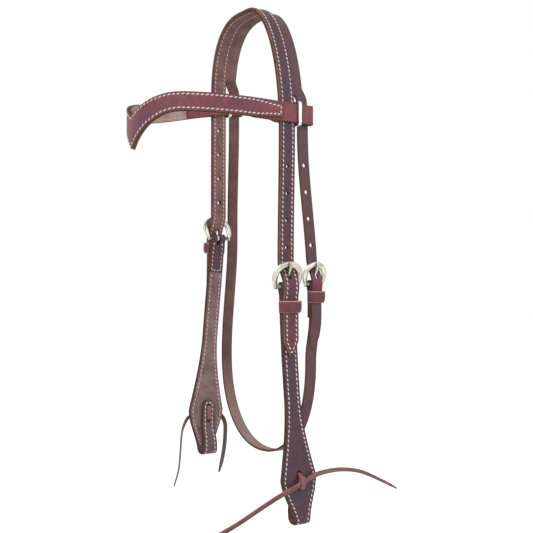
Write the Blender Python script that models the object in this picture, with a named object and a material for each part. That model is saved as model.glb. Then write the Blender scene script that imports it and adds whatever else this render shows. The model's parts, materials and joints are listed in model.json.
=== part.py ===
"""A western headstall: a split crown, buckled cheekpieces, a V browband and a throatlatch.

It hangs from the middle of the crown. The crown's underside there is the origin, +Z is up,
-Y is the horse's forehead side and +X is the near side, the horse's left.
"""

import math

import bmesh
import bpy
from mathutils import Matrix, Vector

# Leather and clearances
BASE_THICKNESS = 0.0020
OVERLAY_THICKNESS = 0.0018
CHEEK_LAYER = 0.0019
GAP = 0.0003
STRAP_WIDTH = 0.0152
THROAT_WIDTH = 0.0112

# Crown arch, measured on the underside of the base layer, and how far inside the cheekpieces it ends
REST_HALF = 0.007
NEAR_SPAN_INSET = 0.0002
FAR_SPAN_INSET = 0.0022
NEAR_DROP = 0.118
FAR_DROP = 0.072
NEAR_ARCH_POWER = 2.0
FAR_ARCH_POWER = 2.5
STRAP_FORE = -0.0015
SPLIT_SPREAD = 0.0044
SPLIT_REACH = 0.012

# Buckling places: how far out the cheekpieces' inner faces hang, and the heights of the buckles' bars
CHEEK_INNER = 0.0597
NEAR_BAR_Z = -0.256
SIDE_STAGGER = 0.048
THROAT_BAR_Z = -0.254
THROAT_BUCKLE_ASIDE = 0.0158
NEAR_FRAME_SLIDE = -0.0016
FAR_FRAME_SLIDE = 0.0020
THROAT_FRAME_SLIDE = -0.0006
THROAT_ASIDE_START = 0.040
HOLE_PITCH = 0.024
HOLE_COUNT = 4
HOLE_RADIUS = 0.0019
TONGUE_RISE = 0.012
BILLET_TAIL = 0.061
THROAT_BILLET_TAIL = 0.059
TIP_TAPER = 0.013
TIP_BLUNT = 0.003
BILLET_DIP = 0.0022
THROAT_BILLET_DIP = 0.0012
BEND_ABOVE = 0.0225
BEND_BELOW = 0.012

# Buckles
CHEEK_BAR_RADIUS = 0.0017
CHEEK_FRAME_HALF = 0.0132
CHEEK_FRAME_RISE = 0.0207
CHEEK_RIM_HALF = 0.0026
CHEEK_RIM_DEEP = 0.0017
THROAT_BAR_RADIUS = 0.0015
THROAT_FRAME_HALF = 0.0106
THROAT_FRAME_RISE = 0.0186
THROAT_RIM_HALF = 0.0023
THROAT_RIM_DEEP = 0.0016
BAR_CLEARANCE = 0.00035
PRONG_RADIUS = 0.0013
PRONG_SWING = math.radians(14)
PRONG_PLAY = 0.00025
SLOT_CLEARANCE = 0.0005
FRAME_FOOT = 0.0022
LOOP_TAPER = 0.009

# Cheekpieces
CHEEK_LENGTH = 0.212
TURNBACK = 0.034
PADDLE_WIDTH = 0.0365
PADDLE_RISE = 0.043
PADDLE_FLARE = 0.072
BIT_END_WIDTH = 0.0150
BIT_GAP = 0.0054
FOLD_STRAIGHT = 0.004
BIT_FLAT = 0.0024
FOLD_CLOSE = 0.022
LACED_END = 0.052
LACED_END_WIDTH = 0.0132
NEAR_SWAY = 0.0167
NEAR_SWAY_POWER = 1.5
FAR_SWAY = -0.0135
FAR_SWAY_POWER = 1.2
LACE_HOLE_LOW = 0.0335
LACE_HOLE_HIGH = 0.0465
LACE_HOLE_RADIUS = 0.0023

# Keepers
KEEPER_HEIGHT = 0.0106
KEEPER_THICKNESS = 0.0018
KEEPER_CLEARANCE = 0.0005
KEEPER_CORNER = 0.0015
NEAR_KEEPER_DROP = 0.018
FAR_KEEPER_DROP = 0.0098
THROAT_KEEPER_DROP = 0.0115

# Throatlatch
LATCH_TURNBACK = 0.030
LATCH_BOTTOM = -0.4105
LATCH_RISE = 0.088
LATCH_NEAR_OUTSET = 0.0058
LATCH_FAR_OUTSET = 0.0093
LATCH_POWER = 2.2
LATCH_FORE = 0.0178
LATCH_TWIST = 0.0033
LATCH_PASS_OUTSET = 0.0095
LATCH_PASS_FORE = 0.0208

# Browband
BROW_HEIGHT = 0.017
BROW_FRONT = 0.1205
BROW_STRAIGHT = 0.014
BROW_Z = -0.0985
BROW_NEAR_RISE = -0.004
BROW_FAR_RISE = 0.023
BROW_THICKNESS = 0.0022
BROW_OVERLAY = 0.0019
BROW_CLEARANCE = 0.0006
BROW_UP = 0.0015
BROW_DOWN = 0.006
BROW_LAP = 0.016
BROW_TURN = 0.012
V_REACH = 0.050
V_DROP = 0.030
V_TOP_DROP = 0.018
OVERLAY_INSET = 0.0005
OVERLAY_STOP = 0.0002
RING_RADIUS = 0.0012
RING_CLEARANCE = 0.0006

# Tie laces
KNOT_SLANT = math.radians(22)
LACE_WIDTH = 0.0034
LACE_THICKNESS = 0.0015
LACE_BEND = 0.0028
TAIL_RADIUS = 0.0021
KNOT_LENGTH = 0.013
KNOT_WIDTH = 0.0046
KNOT_THICKNESS = 0.0024
WRAP_RADIUS = 0.0031
WRAP_TUBE = 0.0011
LACE_START = 0.0004
LACE_LEAD = 0.004
TAIL_REACH = 0.1

# Shares and powers that give the forms their outlines, and how finely the forms are divided
PRONG_SHARES = ((0.09, 0.1), (0.45, 0.85), (0.82, 1.12), (1.0, 1.0), (1.15, 0.72))
LOOP_SLOT_SHARE = 0.75
END_ROUND_SHARE = 0.8
WIDEST_SHARE = 0.42
FOOT_SHARE = 0.88
FOOT_SIZE_SHARE = 0.55
BAR_REACH_SHARE = 0.9
TIP_SIZE_SHARE = 0.65
FOLD_SHARE = 0.8
SPLIT_STEP_SHARE = 0.25
WRAP_FLAT_SHARE = 0.7
KNOT_SHARE = 0.4
TOUCH_SHARE = 0.1
ARCH_POWER = 2.15
FLARE_SHOULDER_SHARE = 0.4
V_POWER = 2
TILT_TRIES = 8
TAIL_SAMPLES = 14
HOLE_SIDES = 10
FRAME_SIDES = 10
BAR_SIDES = 12
ROOT_SIDES = 16
WIRE_SIDES = 8
FOOT_STEPS = 3
TIP_STEPS = 3
CORNER_STEPS = 3
KEEPER_STEPS = 5
BEND_STEPS = 4
STRIP_STEPS = 6
WRAP_STEPS = 16
LAP_STEPS = 8
FOLD_STEPS = 10
TANGENT_STEPS = 900
STATION_SPACING = 0.010
OUTLINE_SPACING = 0.006
STEPS_PER_SPACING = 24
MOST_TURN = math.radians(9)
SHARP_TURN = math.radians(40)

NEAR, FAR = 1, -1
ALONG_Y = Vector((0, 1, 0))
ALONG_Z = Vector((0, 0, 1))


def clear_scene():
    for item in list(bpy.data.objects):
        bpy.data.objects.remove(item, do_unlink=True)


def ease(share):
    share = min(1, max(0, share))
    return share * share * (3 - 2 * share)


def mix(start, end, share):
    return start + (end - start) * share


class Route:
    """A smooth line through closely spaced points, read by the distance along it."""

    def __init__(self, points, hint):
        self.points = [Vector(p) for p in points]
        self.hint = hint
        self.along = [0.0]
        for a, b in zip(self.points, self.points[1:]):
            self.along.append(self.along[-1] + (b - a).length)
        self.length = self.along[-1]

    def place(self, distance):
        distance = min(max(distance, 0), self.length)
        low, high = 0, len(self.along) - 1
        while high - low > 1:
            middle = (low + high) // 2
            if self.along[middle] <= distance:
                low = middle
            else:
                high = middle
        step = self.along[high] - self.along[low]
        share = (distance - self.along[low]) / step
        return self.points[low].lerp(self.points[high], share)

    def axes(self, distance):
        reach = self.length / TANGENT_STEPS
        tangent = (self.place(distance + reach) - self.place(distance - reach)).normalized()
        across = (self.hint - tangent * self.hint.dot(tangent)).normalized()
        return across, tangent.cross(across)

    def where(self, test, start=0.0):
        """The distance, from start on, of the first point that passes the test."""
        for point, distance in zip(self.points, self.along):
            if distance >= start and test(point):
                return distance
        return self.length

    def stations(self, start, end, spacing, keep=()):
        """Distances for cross-sections, close together where the route bends."""
        found = [start]
        step = spacing / STEPS_PER_SPACING
        heading = self.axes(start)[1]
        distance = start
        while distance < end - step:
            distance += step
            facing = self.axes(distance)[1]
            if distance - found[-1] >= spacing or heading.angle(facing) >= MOST_TURN:
                found.append(distance)
                heading = facing
        if end - found[-1] < spacing / 2 and len(found) > 1:
            found.pop()
        found.append(end)
        for kept in keep:
            nearest = min(found[1:-1], key=lambda d: abs(d - kept))
            found[found.index(nearest)] = kept
        return sorted(found)


def ring(mesh, route, distance, edges, faces):
    """Four corners of a strap: inner low, inner high, outer high, outer low."""
    here = route.place(distance)
    across, out = route.axes(distance)
    corners = []
    for edge, face in ((0, 0), (1, 0), (1, 1), (0, 1)):
        corners.append(mesh.verts.new(here + across * edges[edge] + out * faces[face]))
    return corners


def join_rings(mesh, first, second, walls=(0, 1, 2, 3)):
    for wall in walls:
        after = (wall + 1) % 4
        mesh.faces.new((first[wall], first[after], second[after], second[wall]))


def strap_rings(mesh, route, distances, edges_at, faces):
    rings = [ring(mesh, route, d, edges_at(d), faces) for d in distances]
    for first, second in zip(rings, rings[1:]):
        join_rings(mesh, first, second)
    return rings


def finish(mesh, name, material, smooth=False):
    bmesh.ops.recalc_face_normals(mesh, faces=mesh.faces)
    data = bpy.data.meshes.new(name)
    mesh.to_mesh(data)
    mesh.free()
    item = bpy.data.objects.new(name, data)
    bpy.context.scene.collection.objects.link(item)
    if material:
        data.materials.append(material)
    if smooth:
        data.shade_smooth()
        data.set_sharp_from_angle(angle=SHARP_TURN)
    return item


def strap(name, route, distances, edges_at, faces, material):
    mesh = bmesh.new()
    rings = strap_rings(mesh, route, distances, edges_at, faces)
    mesh.faces.new(rings[0])
    mesh.faces.new(rings[-1])
    return finish(mesh, name, material)


def tube_mesh(mesh, points, sizes, sides, hint, closed=False):
    """A tube with an elliptical section: sizes hold its half width and half depth at each point."""
    rings = []
    count = len(points)
    for i, point in enumerate(points):
        before = points[(i - 1) % count] if closed else points[max(i - 1, 0)]
        after = points[(i + 1) % count] if closed else points[min(i + 1, count - 1)]
        tangent = (after - before).normalized()
        depth = (hint - tangent * hint.dot(tangent)).normalized()
        width = tangent.cross(depth)
        half_width, half_depth = sizes[i]
        loop = []
        for k in range(sides):
            turn = math.tau * k / sides
            offset = width * half_width * math.cos(turn) + depth * half_depth * math.sin(turn)
            loop.append(mesh.verts.new(point + offset))
        rings.append(loop)
    pairs = list(zip(rings, rings[1:]))
    if closed:
        pairs.append((rings[-1], rings[0]))
    for first, second in pairs:
        for k in range(sides):
            after = (k + 1) % sides
            mesh.faces.new((first[k], first[after], second[after], second[k]))
    if not closed:
        mesh.faces.new(rings[0])
        mesh.faces.new(list(reversed(rings[-1])))


def tube(name, points, sizes, sides, hint, material, closed=False):
    mesh = bmesh.new()
    tube_mesh(mesh, points, sizes, sides, hint, closed)
    return finish(mesh, name, material, smooth=True)


def cylinder_between(mesh, start, end, radius, sides):
    direction = end - start
    turn = direction.to_track_quat("Z", "Y").to_matrix().to_4x4()
    place = Matrix.Translation((start + end) / 2) @ turn
    bmesh.ops.create_cone(
        mesh,
        cap_ends=True,
        segments=sides,
        radius1=radius,
        radius2=radius,
        depth=direction.length,
        matrix=place,
    )


def modify(target, tool, operation):
    """Joins or cuts with another object and applies the result at once."""
    change = target.modifiers.new(tool.name, "BOOLEAN")
    change.object = tool
    change.operation = operation
    change.solver = "EXACT"
    shaped = bpy.data.meshes.new_from_object(
        target.evaluated_get(bpy.context.evaluated_depsgraph_get())
    )
    target.modifiers.clear()
    shaped.name = target.name
    target.data = shaped


def discard(tool):
    bpy.data.objects.remove(tool, do_unlink=True)


def make_material(name, color, roughness, metallic):
    material = bpy.data.materials.new(name)
    material.use_nodes = True
    surface = material.node_tree.nodes["Principled BSDF"]
    surface.inputs["Base Color"].default_value = (*color, 1)
    surface.inputs["Roughness"].default_value = roughness
    surface.inputs["Metallic"].default_value = metallic
    return material


class Buckling:
    """Where one billet, its buckle and the strap that carries the buckle lie.

    Heights are counted from the buckle's bar and depths outward from the inner face of the
    strap that wraps the bar.
    """

    def __init__(self, side, fore, bar_z, layer, billet, dip, bar_radius, frame, slide, keeper_drop):
        self.side = side
        self.fore = fore
        self.bar_z = bar_z
        self.layer = layer
        self.billet = billet
        self.bar_radius = bar_radius
        self.slide = slide
        self.keeper_drop = keeper_drop
        self.frame_half, self.frame_rise, self.rim_half, self.rim_deep = frame
        self.bar_depth = layer + GAP / 2
        self.loop_radius = bar_radius + BAR_CLEARANCE + layer / 2
        self.above = -dip
        self.at_bar = self.bar_depth + self.loop_radius + layer / 2 + GAP
        self.below = 2 * (layer + GAP)
        self.rise_inside = self.frame_rise - 2 * self.rim_half - abs(slide) / 2
        self.tilt = self.find_tilt()

    def find_tilt(self):
        """The lean that lets the frame's arch lie on the billet's outer face."""
        tilt = 0.0
        for _ in range(TILT_TRIES):
            face = self.inner_depth(self.rise_inside * math.cos(tilt)) + self.billet
            lean = (face + GAP + self.rim_deep - self.bar_depth) / self.rise_inside
            tilt = math.asin(lean)
        return tilt

    def inner_depth(self, height):
        """Depth of the billet's inner face."""
        if height >= 0:
            return mix(self.above, self.at_bar, ease(1 - height / BEND_ABOVE))
        return mix(self.at_bar, self.below, ease(-height / BEND_BELOW))

    def point(self, depth, height, aside=0.0):
        return Vector((self.side * (CHEEK_INNER + depth), self.fore + aside, self.bar_z + height))

    def bar(self):
        return self.point(self.bar_depth, 0)

    def frame_axes(self, swing=0.0):
        """Up along the frame and outward from its face."""
        lean = self.tilt + swing
        up = Vector((self.side * math.sin(lean), 0, math.cos(lean)))
        out = Vector((self.side * math.cos(lean), 0, -math.sin(lean)))
        return up, out

    def in_frame(self, aside, rise, out, swing=0.0):
        upward, outward = self.frame_axes(swing)
        return self.bar() + ALONG_Y * aside + upward * rise + outward * out


def crown_height(span, drop, power, share):
    """A point of the arch from the rest's edge, at 0, to where the strap hangs, at 1."""
    turn = share * math.pi / 2
    reach = span - REST_HALF
    x = REST_HALF + reach * math.sin(turn) ** (2 / power)
    z = drop * (math.cos(turn) ** (2 / power) - 1)
    return x, z


def side_line(span, drop, power, buckling, tail, samples=26):
    """One side of the crown from the rest's edge down to the tip of its billet, as (x, z)."""
    line = [crown_height(span, drop, power, i / samples) for i in range(samples + 1)]
    bend_z = buckling.bar_z + BEND_ABOVE
    for i in range(1, samples):
        share = i / samples
        line.append((mix(span, CHEEK_INNER + buckling.above, ease(share)), mix(-drop, bend_z, share)))
    height = BEND_ABOVE
    step = (BEND_ABOVE + BEND_BELOW) / samples
    while height > -BEND_BELOW:
        line.append((CHEEK_INNER + buckling.inner_depth(height), buckling.bar_z + height))
        height -= step
    for i in range(samples + 1):
        z = mix(-BEND_BELOW, -tail, i / samples)
        line.append((CHEEK_INNER + buckling.below, buckling.bar_z + z))
    return line


def taper(distance_to_tip, width):
    """The width near a pointed tip."""
    if distance_to_tip >= TIP_TAPER:
        return width
    return mix(TIP_BLUNT, width, max(distance_to_tip, 0) / TIP_TAPER)


cheek_frame = (CHEEK_FRAME_HALF, CHEEK_FRAME_RISE, CHEEK_RIM_HALF, CHEEK_RIM_DEEP)
throat_frame = (THROAT_FRAME_HALF, THROAT_FRAME_RISE, THROAT_RIM_HALF, THROAT_RIM_DEEP)
cheek_billet = BASE_THICKNESS + GAP + OVERLAY_THICKNESS
throat_fore = STRAP_FORE + (STRAP_WIDTH + THROAT_WIDTH) / 2
spread_fore = throat_fore + SPLIT_SPREAD
straps_rear = spread_fore + THROAT_WIDTH / 2
throat_buckle_fore = throat_fore + THROAT_BUCKLE_ASIDE
NEAR_CHEEK = Buckling(
    NEAR,
    STRAP_FORE,
    NEAR_BAR_Z,
    CHEEK_LAYER,
    cheek_billet,
    BILLET_DIP,
    CHEEK_BAR_RADIUS,
    cheek_frame,
    NEAR_FRAME_SLIDE,
    NEAR_KEEPER_DROP,
)
FAR_CHEEK = Buckling(
    FAR,
    STRAP_FORE,
    NEAR_BAR_Z + SIDE_STAGGER,
    CHEEK_LAYER,
    cheek_billet,
    BILLET_DIP,
    CHEEK_BAR_RADIUS,
    cheek_frame,
    FAR_FRAME_SLIDE,
    FAR_KEEPER_DROP,
)
THROAT = Buckling(
    NEAR,
    throat_buckle_fore,
    THROAT_BAR_Z,
    BASE_THICKNESS,
    BASE_THICKNESS,
    THROAT_BILLET_DIP,
    THROAT_BAR_RADIUS,
    throat_frame,
    THROAT_FRAME_SLIDE,
    THROAT_KEEPER_DROP,
)

near_span = CHEEK_INNER - NEAR_SPAN_INSET
far_span = CHEEK_INNER - FAR_SPAN_INSET
latch_pass = CHEEK_INNER + LATCH_PASS_OUTSET
brow_reach = BROW_HEIGHT / 2 + RING_CLEARANCE + 2 * RING_RADIUS
near_split_z = BROW_Z + BROW_NEAR_RISE + brow_reach + SPLIT_REACH + BROW_UP
far_split_z = BROW_Z + BROW_FAR_RISE + brow_reach + SPLIT_REACH + BROW_UP
far_hang_z = BROW_Z + BROW_FAR_RISE - brow_reach - BROW_DOWN
latch_end_z = LATCH_BOTTOM + LATCH_RISE


def near_throat_fore(z):
    """How far back the throat strap's middle lies on the near side."""
    if z < THROAT_BAR_Z:
        turnback_z = THROAT_BAR_Z - LATCH_TURNBACK
        share = ease((turnback_z - z) / (turnback_z - latch_end_z))
        return mix(throat_buckle_fore, latch_half(NEAR, math.pi / 2).y, share)
    spread = ease((near_split_z - z) / SPLIT_REACH) * SPLIT_SPREAD
    start = near_split_z - THROAT_ASIDE_START
    share = ease((start - z) / (start - THROAT_BAR_Z))
    return throat_fore + spread + (throat_buckle_fore - spread_fore) * share


def far_throat_place(z):
    """The far throat strap's middle, as (x, y): it passes outside the far buckle."""
    start_x = -far_span - BASE_THICKNESS / 2
    if z >= far_hang_z:
        spread = ease((far_split_z - z) / SPLIT_REACH) * SPLIT_SPREAD
        return start_x, throat_fore + spread
    if z >= FAR_CHEEK.bar_z:
        share = ease((far_hang_z - z) / (far_hang_z - FAR_CHEEK.bar_z - FAR_CHEEK.frame_rise))
        return mix(start_x, -latch_pass, share), mix(spread_fore, LATCH_PASS_FORE, share)
    share = ease((FAR_CHEEK.bar_z - z) / (FAR_CHEEK.bar_z - latch_end_z))
    end = latch_half(FAR, math.pi / 2)
    return mix(-latch_pass, end.x, share), mix(LATCH_PASS_FORE, end.y, share)


def cheek_sway(side, height):
    """How far a cheekpiece hangs out of plumb, fore or aft, at a height from its bar."""
    share = min(1, max(0, -height / CHEEK_LENGTH))
    if side == NEAR:
        return NEAR_SWAY * share**NEAR_SWAY_POWER
    return FAR_SWAY * math.sin(share * math.pi / 2) ** FAR_SWAY_POWER


def billet_sway(buckling, z):
    """The billet follows the cheekpiece through the keeper and hangs plumb below it."""
    return cheek_sway(buckling.side, max(z - buckling.bar_z, -buckling.keeper_drop - KEEPER_HEIGHT))


def crown_route():
    """Far billet tip, over the poll, to the near billet tip, on the underside of the base."""
    near = side_line(near_span, NEAR_DROP, NEAR_ARCH_POWER, NEAR_CHEEK, BILLET_TAIL)
    far = side_line(far_span, FAR_DROP, FAR_ARCH_POWER, FAR_CHEEK, BILLET_TAIL)
    points = []
    for x, z in reversed(far):
        points.append((-x, STRAP_FORE + billet_sway(FAR_CHEEK, z), z))
    for x, z in near:
        points.append((x, STRAP_FORE + billet_sway(NEAR_CHEEK, z), z))
    return Route(points, ALONG_Y)


def latch_half(side, turn):
    """A point of the throatlatch's hanging half round: its lowest point at turn 0."""
    half = CHEEK_INNER + (LATCH_NEAR_OUTSET if side == NEAR else LATCH_FAR_OUTSET)
    x = side * half * math.sin(turn) ** (2 / LATCH_POWER)
    z = LATCH_BOTTOM + LATCH_RISE * (1 - math.cos(turn) ** (2 / LATCH_POWER))
    return Vector((x, LATCH_FORE + LATCH_TWIST * x / CHEEK_INNER, z))


def bar_loop(buckling, leg_start, leg_end, samples=14):
    """The middle of a strap that goes up, over the bar and down, from inside to outside."""
    line = []
    inner, outer = buckling.layer / 2, 3 * buckling.layer / 2 + GAP
    wide_in = buckling.bar_depth - buckling.loop_radius
    wide_out = buckling.bar_depth + buckling.loop_radius
    line.append(buckling.point(inner, -leg_start))
    for i in range(samples // 2 + 1):
        share = i / (samples // 2)
        line.append(buckling.point(mix(inner, wide_in, ease(share)), -LOOP_TAPER * (1 - share)))
    for i in range(1, samples):
        turn = math.pi * i / samples
        depth = buckling.bar_depth - buckling.loop_radius * math.cos(turn)
        line.append(buckling.point(depth, buckling.loop_radius * math.sin(turn)))
    for i in range(samples // 2 + 1):
        share = i / (samples // 2)
        line.append(buckling.point(mix(wide_out, outer, ease(share)), -LOOP_TAPER * share))
    line.append(buckling.point(outer, -leg_end))
    return line


def throat_route(samples=24):
    """The throatlatch from its turnback round the bar, under, up the far side and over the poll.

    It is the middle of the leather as far as the poll and beyond, like the base layer's middle.
    """
    half = BASE_THICKNESS / 2
    points = bar_loop(THROAT, LATCH_TURNBACK, LATCH_TURNBACK)
    start = points[-1]
    hang = latch_half(NEAR, math.pi / 2)
    for i in range(1, samples // 2):
        share = i / (samples // 2)
        points.append(
            Vector(
                (
                    mix(start.x, hang.x, ease(share)),
                    mix(start.y, hang.y, ease(share)),
                    mix(start.z, hang.z, share),
                )
            )
        )
    for i in range(samples + 1):
        points.append(latch_half(NEAR, math.pi / 2 * (1 - i / samples)))
    for i in range(1, samples + 1):
        points.append(latch_half(FAR, math.pi / 2 * i / samples))
    start = points[-1]
    line = side_line(far_span, FAR_DROP, FAR_ARCH_POWER, FAR_CHEEK, BILLET_TAIL)
    for i in range(1, 2 * samples):
        share = i / (2 * samples)
        z = mix(start.z, -FAR_DROP, share)
        points.append(Vector((*far_throat_place(z), z)))
    middle = Route([(-x, 0, z) for x, z in reversed(line)], ALONG_Y)
    first = middle.where(lambda p: p.z >= -FAR_DROP)
    for i in range(samples + 1):
        d = mix(first, middle.length, i / samples)
        here, out = middle.place(d), middle.axes(d)[1]
        points.append(here + out * half + ALONG_Y * far_throat_place(here.z)[1])
    near = side_line(near_span, NEAR_DROP, NEAR_ARCH_POWER, THROAT, THROAT_BILLET_TAIL)
    middle = Route([(x, 0, z) for x, z in near], ALONG_Y)
    for i in range(4 * samples + 1):
        d = middle.length * i / (4 * samples)
        here, out = middle.place(d), middle.axes(d)[1]
        points.append(here + out * half + ALONG_Y * near_throat_fore(here.z))
    return Route(points, ALONG_Y)


def crown_edges(route):
    def edges(distance):
        tip = min(distance, route.length - distance)
        half = taper(tip, STRAP_WIDTH) / 2
        return -half, half

    return edges


def billet_holes(route, buckling, used, direction):
    """Round holes up the billet from the one in use."""
    mesh = bmesh.new()
    for i in range(1, HOLE_COUNT + 1):
        here = used + direction * i * HOLE_PITCH
        out = route.axes(here)[1]
        place = route.place(here)
        reach = out * (buckling.billet + OVERLAY_THICKNESS)
        cylinder_between(mesh, place - reach, place + reach, HOLE_RADIUS, HOLE_SIDES)
    return finish(mesh, "holes", None)


def prong_line(buckling, samples=12):
    """The prong's middle line beside its frame, as (rise, out), from the bar to its tip."""
    rest = buckling.rim_deep + GAP + PRONG_RADIUS
    knots = []
    for rise_share, out_share in PRONG_SHARES:
        knots.append(Vector((rise_share * buckling.frame_rise, out_share * rest)))
    return smooth_line(knots, samples)


def smooth_line(knots, samples):
    """Points on a smooth curve through the knots."""
    ends = [2 * knots[0] - knots[1], *knots, 2 * knots[-1] - knots[-2]]
    line = []
    for a, b, c, d in zip(ends, ends[1:], ends[2:], ends[3:]):
        count = max(2, round(samples / (len(knots) - 1)))
        for i in range(count):
            t = i / count
            line.append(
                (b * 2 + (c - a) * t + (a * 2 - b * 5 + c * 4 - d) * t * t + (b * 3 - a - c * 3 + d) * t**3)
                / 2
            )
    line.append(knots[-1].copy())
    return line


def prong_slot(buckling):
    """The room that the prong sweeps through the billet, as a cutter."""
    room = PRONG_RADIUS + SLOT_CLEARANCE
    line = [p for p in prong_line(buckling) if p.x < buckling.rise_inside]
    lower = [(p.x, p.y - room) for p in line]
    upper = []
    for p in reversed(line):
        rise, out = p.x, p.y + room
        turned_rise = rise * math.cos(PRONG_SWING) - out * math.sin(PRONG_SWING)
        turned_out = rise * math.sin(PRONG_SWING) + out * math.cos(PRONG_SWING)
        upper.append((turned_rise, turned_out))
    mesh = bmesh.new()
    sides = []
    for aside in (-room, room):
        sides.append([mesh.verts.new(buckling.in_frame(aside, r, o)) for r, o in lower + upper])
    mesh.faces.new(sides[0])
    mesh.faces.new(list(reversed(sides[1])))
    count = len(sides[0])
    for i in range(count):
        j = (i + 1) % count
        mesh.faces.new((sides[0][i], sides[0][j], sides[1][j], sides[1][i]))
    return finish(mesh, "prong_slot", None)


def notch_box(mesh, buckling):
    """Adds the notch in a strap's loop over the bar that the prong's root turns in."""
    half = PRONG_RADIUS + SLOT_CLEARANCE
    size = buckling.loop_radius + buckling.layer
    low, high = -LOOP_TAPER * LOOP_SLOT_SHARE, size + BAR_CLEARANCE
    corners = []
    for height in (low, high):
        for depth, aside in ((-size, -half), (size, -half), (size, half), (-size, half)):
            corners.append(mesh.verts.new(buckling.point(buckling.bar_depth + depth, height, aside)))
    bottom, top = corners[:4], corners[4:]
    mesh.faces.new(bottom)
    mesh.faces.new(top)
    for i in range(4):
        j = (i + 1) % 4
        mesh.faces.new((bottom[i], bottom[j], top[j], top[i]))


def billet_cutters(route, buckling, over):
    """All that is cut through one billet: the holes above the prong, and the prong's own."""
    hole_z = buckling.bar_z + TONGUE_RISE
    if buckling.side == NEAR:
        used = route.where(lambda p: p.z <= hole_z, over)
    else:
        used = route.where(lambda p: p.z >= hole_z)
    return [billet_holes(route, buckling, used, -buckling.side), prong_slot(buckling)]


def build_crown(route, throat, materials):
    """The base layer: one piece over the poll, split into cheek billets and throat straps."""
    far_split = route.where(lambda p: p.z >= far_split_z)
    rest = [route.where(lambda p: p.x >= x) for x in (-REST_HALF, REST_HALF)]
    near_split = route.where(lambda p: p.z <= near_split_z, rest[1])
    stations = route.stations(0, route.length, STATION_SPACING, (far_split, *rest, near_split))
    mesh = bmesh.new()
    edges = crown_edges(route)
    faces = (0, BASE_THICKNESS)
    cheek, poll = [], []
    for d in stations:
        corners = ring(mesh, route, d, edges(d), faces)
        cheek.append(corners)
        if far_split <= d <= near_split:
            wide = (STRAP_WIDTH / 2, STRAP_WIDTH / 2 + THROAT_WIDTH)
            beyond = ring(mesh, route, d, wide, faces)
            mesh.verts.remove(beyond[0])
            mesh.verts.remove(beyond[3])
            poll.append([corners[1], beyond[1], beyond[2], corners[2]])
    for i, (first, second) in enumerate(zip(cheek, cheek[1:])):
        joined = far_split <= stations[i] and stations[i + 1] <= near_split
        join_rings(mesh, first, second, (0, 2, 3) if joined else (0, 1, 2, 3))
    for first, second in zip(poll, poll[1:]):
        join_rings(mesh, first, second, (0, 1, 2))
    mesh.faces.new(cheek[0])
    mesh.faces.new(cheek[-1])

    half, layer = THROAT_WIDTH / 2, BASE_THICKNESS / 2

    def latch_edges(distance):
        width = taper(throat.length - distance, THROAT_WIDTH) / 2
        return -width, width

    latch_end = throat.where(lambda p: p.x < 0 and p.z >= far_split_z)
    over = throat.where(lambda p: p.z >= -BASE_THICKNESS)
    billet_start = throat.where(lambda p: p.z <= near_split_z, over)
    first_step = SPLIT_REACH * SPLIT_STEP_SHARE
    latch = throat.stations(0, latch_end - first_step, STATION_SPACING)
    rings = strap_rings(mesh, throat, latch, lambda d: (-half, half), (-layer, layer))
    mesh.faces.new(rings[0])
    join_rings(mesh, rings[-1], poll[0])
    billet = throat.stations(billet_start + first_step, throat.length, STATION_SPACING)
    rings = strap_rings(mesh, throat, billet, latch_edges, (-layer, layer))
    join_rings(mesh, poll[-1], rings[0])
    mesh.faces.new(rings[-1])
    crown = finish(mesh, "crown", materials["leather"])

    top = BASE_THICKNESS + GAP
    overlay = strap(
        "crown_overlay",
        route,
        stations,
        edges,
        (top, top + OVERLAY_THICKNESS),
        materials["overlay"],
    )
    for buckling in (NEAR_CHEEK, FAR_CHEEK):
        for tool in billet_cutters(route, buckling, rest[1]):
            modify(crown, tool, "DIFFERENCE")
            modify(overlay, tool, "DIFFERENCE")
            discard(tool)
    mesh = bmesh.new()
    notch_box(mesh, THROAT)
    for tool in [*billet_cutters(throat, THROAT, over), finish(mesh, "notch", None)]:
        modify(crown, tool, "DIFFERENCE")
        discard(tool)
    return crown, overlay


def paddle_width(height):
    """The cheekpiece's width at a height above its folded end."""
    if height <= PADDLE_RISE:
        return mix(BIT_END_WIDTH, PADDLE_WIDTH, ease(height / PADDLE_RISE))
    share = min(1, (height - PADDLE_RISE) / PADDLE_FLARE)
    return mix(STRAP_WIDTH, PADDLE_WIDTH, (1 - share) ** 2 * (1 + share * FLARE_SHOULDER_SHARE))


def cheek_point(buckling, depth, height):
    return buckling.point(depth, height, cheek_sway(buckling.side, height))


def fold_line(buckling, offset, start, samples=20):
    """The middle of a layer from a height below the bar, down, round the bit fold and up inside.

    The offset counts outward from the middle of the lining.
    """
    layer = buckling.layer
    radius = (BIT_GAP + layer - BIT_FLAT) / 2
    corner = layer / 2 - radius
    centre = -CHEEK_LENGTH + radius + 3 * layer / 2 + GAP
    reach = radius + offset
    line = []
    for i in range(2 * samples):
        height = mix(start, centre, i / (2 * samples))
        line.append(cheek_point(buckling, layer / 2 + offset, height))
    for middle, quarter in ((corner, 0), (corner - BIT_FLAT, 1)):
        for i in range(samples // 2 + 1):
            turn = math.pi / 2 * (2 * i / samples + quarter)
            depth, drop = reach * math.cos(turn), reach * math.sin(turn)
            line.append(cheek_point(buckling, middle + depth, centre - drop))
    away = corner - BIT_FLAT - reach
    laid = -GAP - layer / 2 - offset
    low = centre + FOLD_STRAIGHT
    for i in range(samples + 1):
        depth = mix(away, laid, ease(i / samples))
        line.append(cheek_point(buckling, depth, mix(low, low + FOLD_CLOSE, i / samples)))
    for i in range(1, samples + 1):
        height = mix(low + FOLD_CLOSE, LACED_END - CHEEK_LENGTH, i / samples)
        line.append(cheek_point(buckling, laid, height))
    return line


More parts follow.
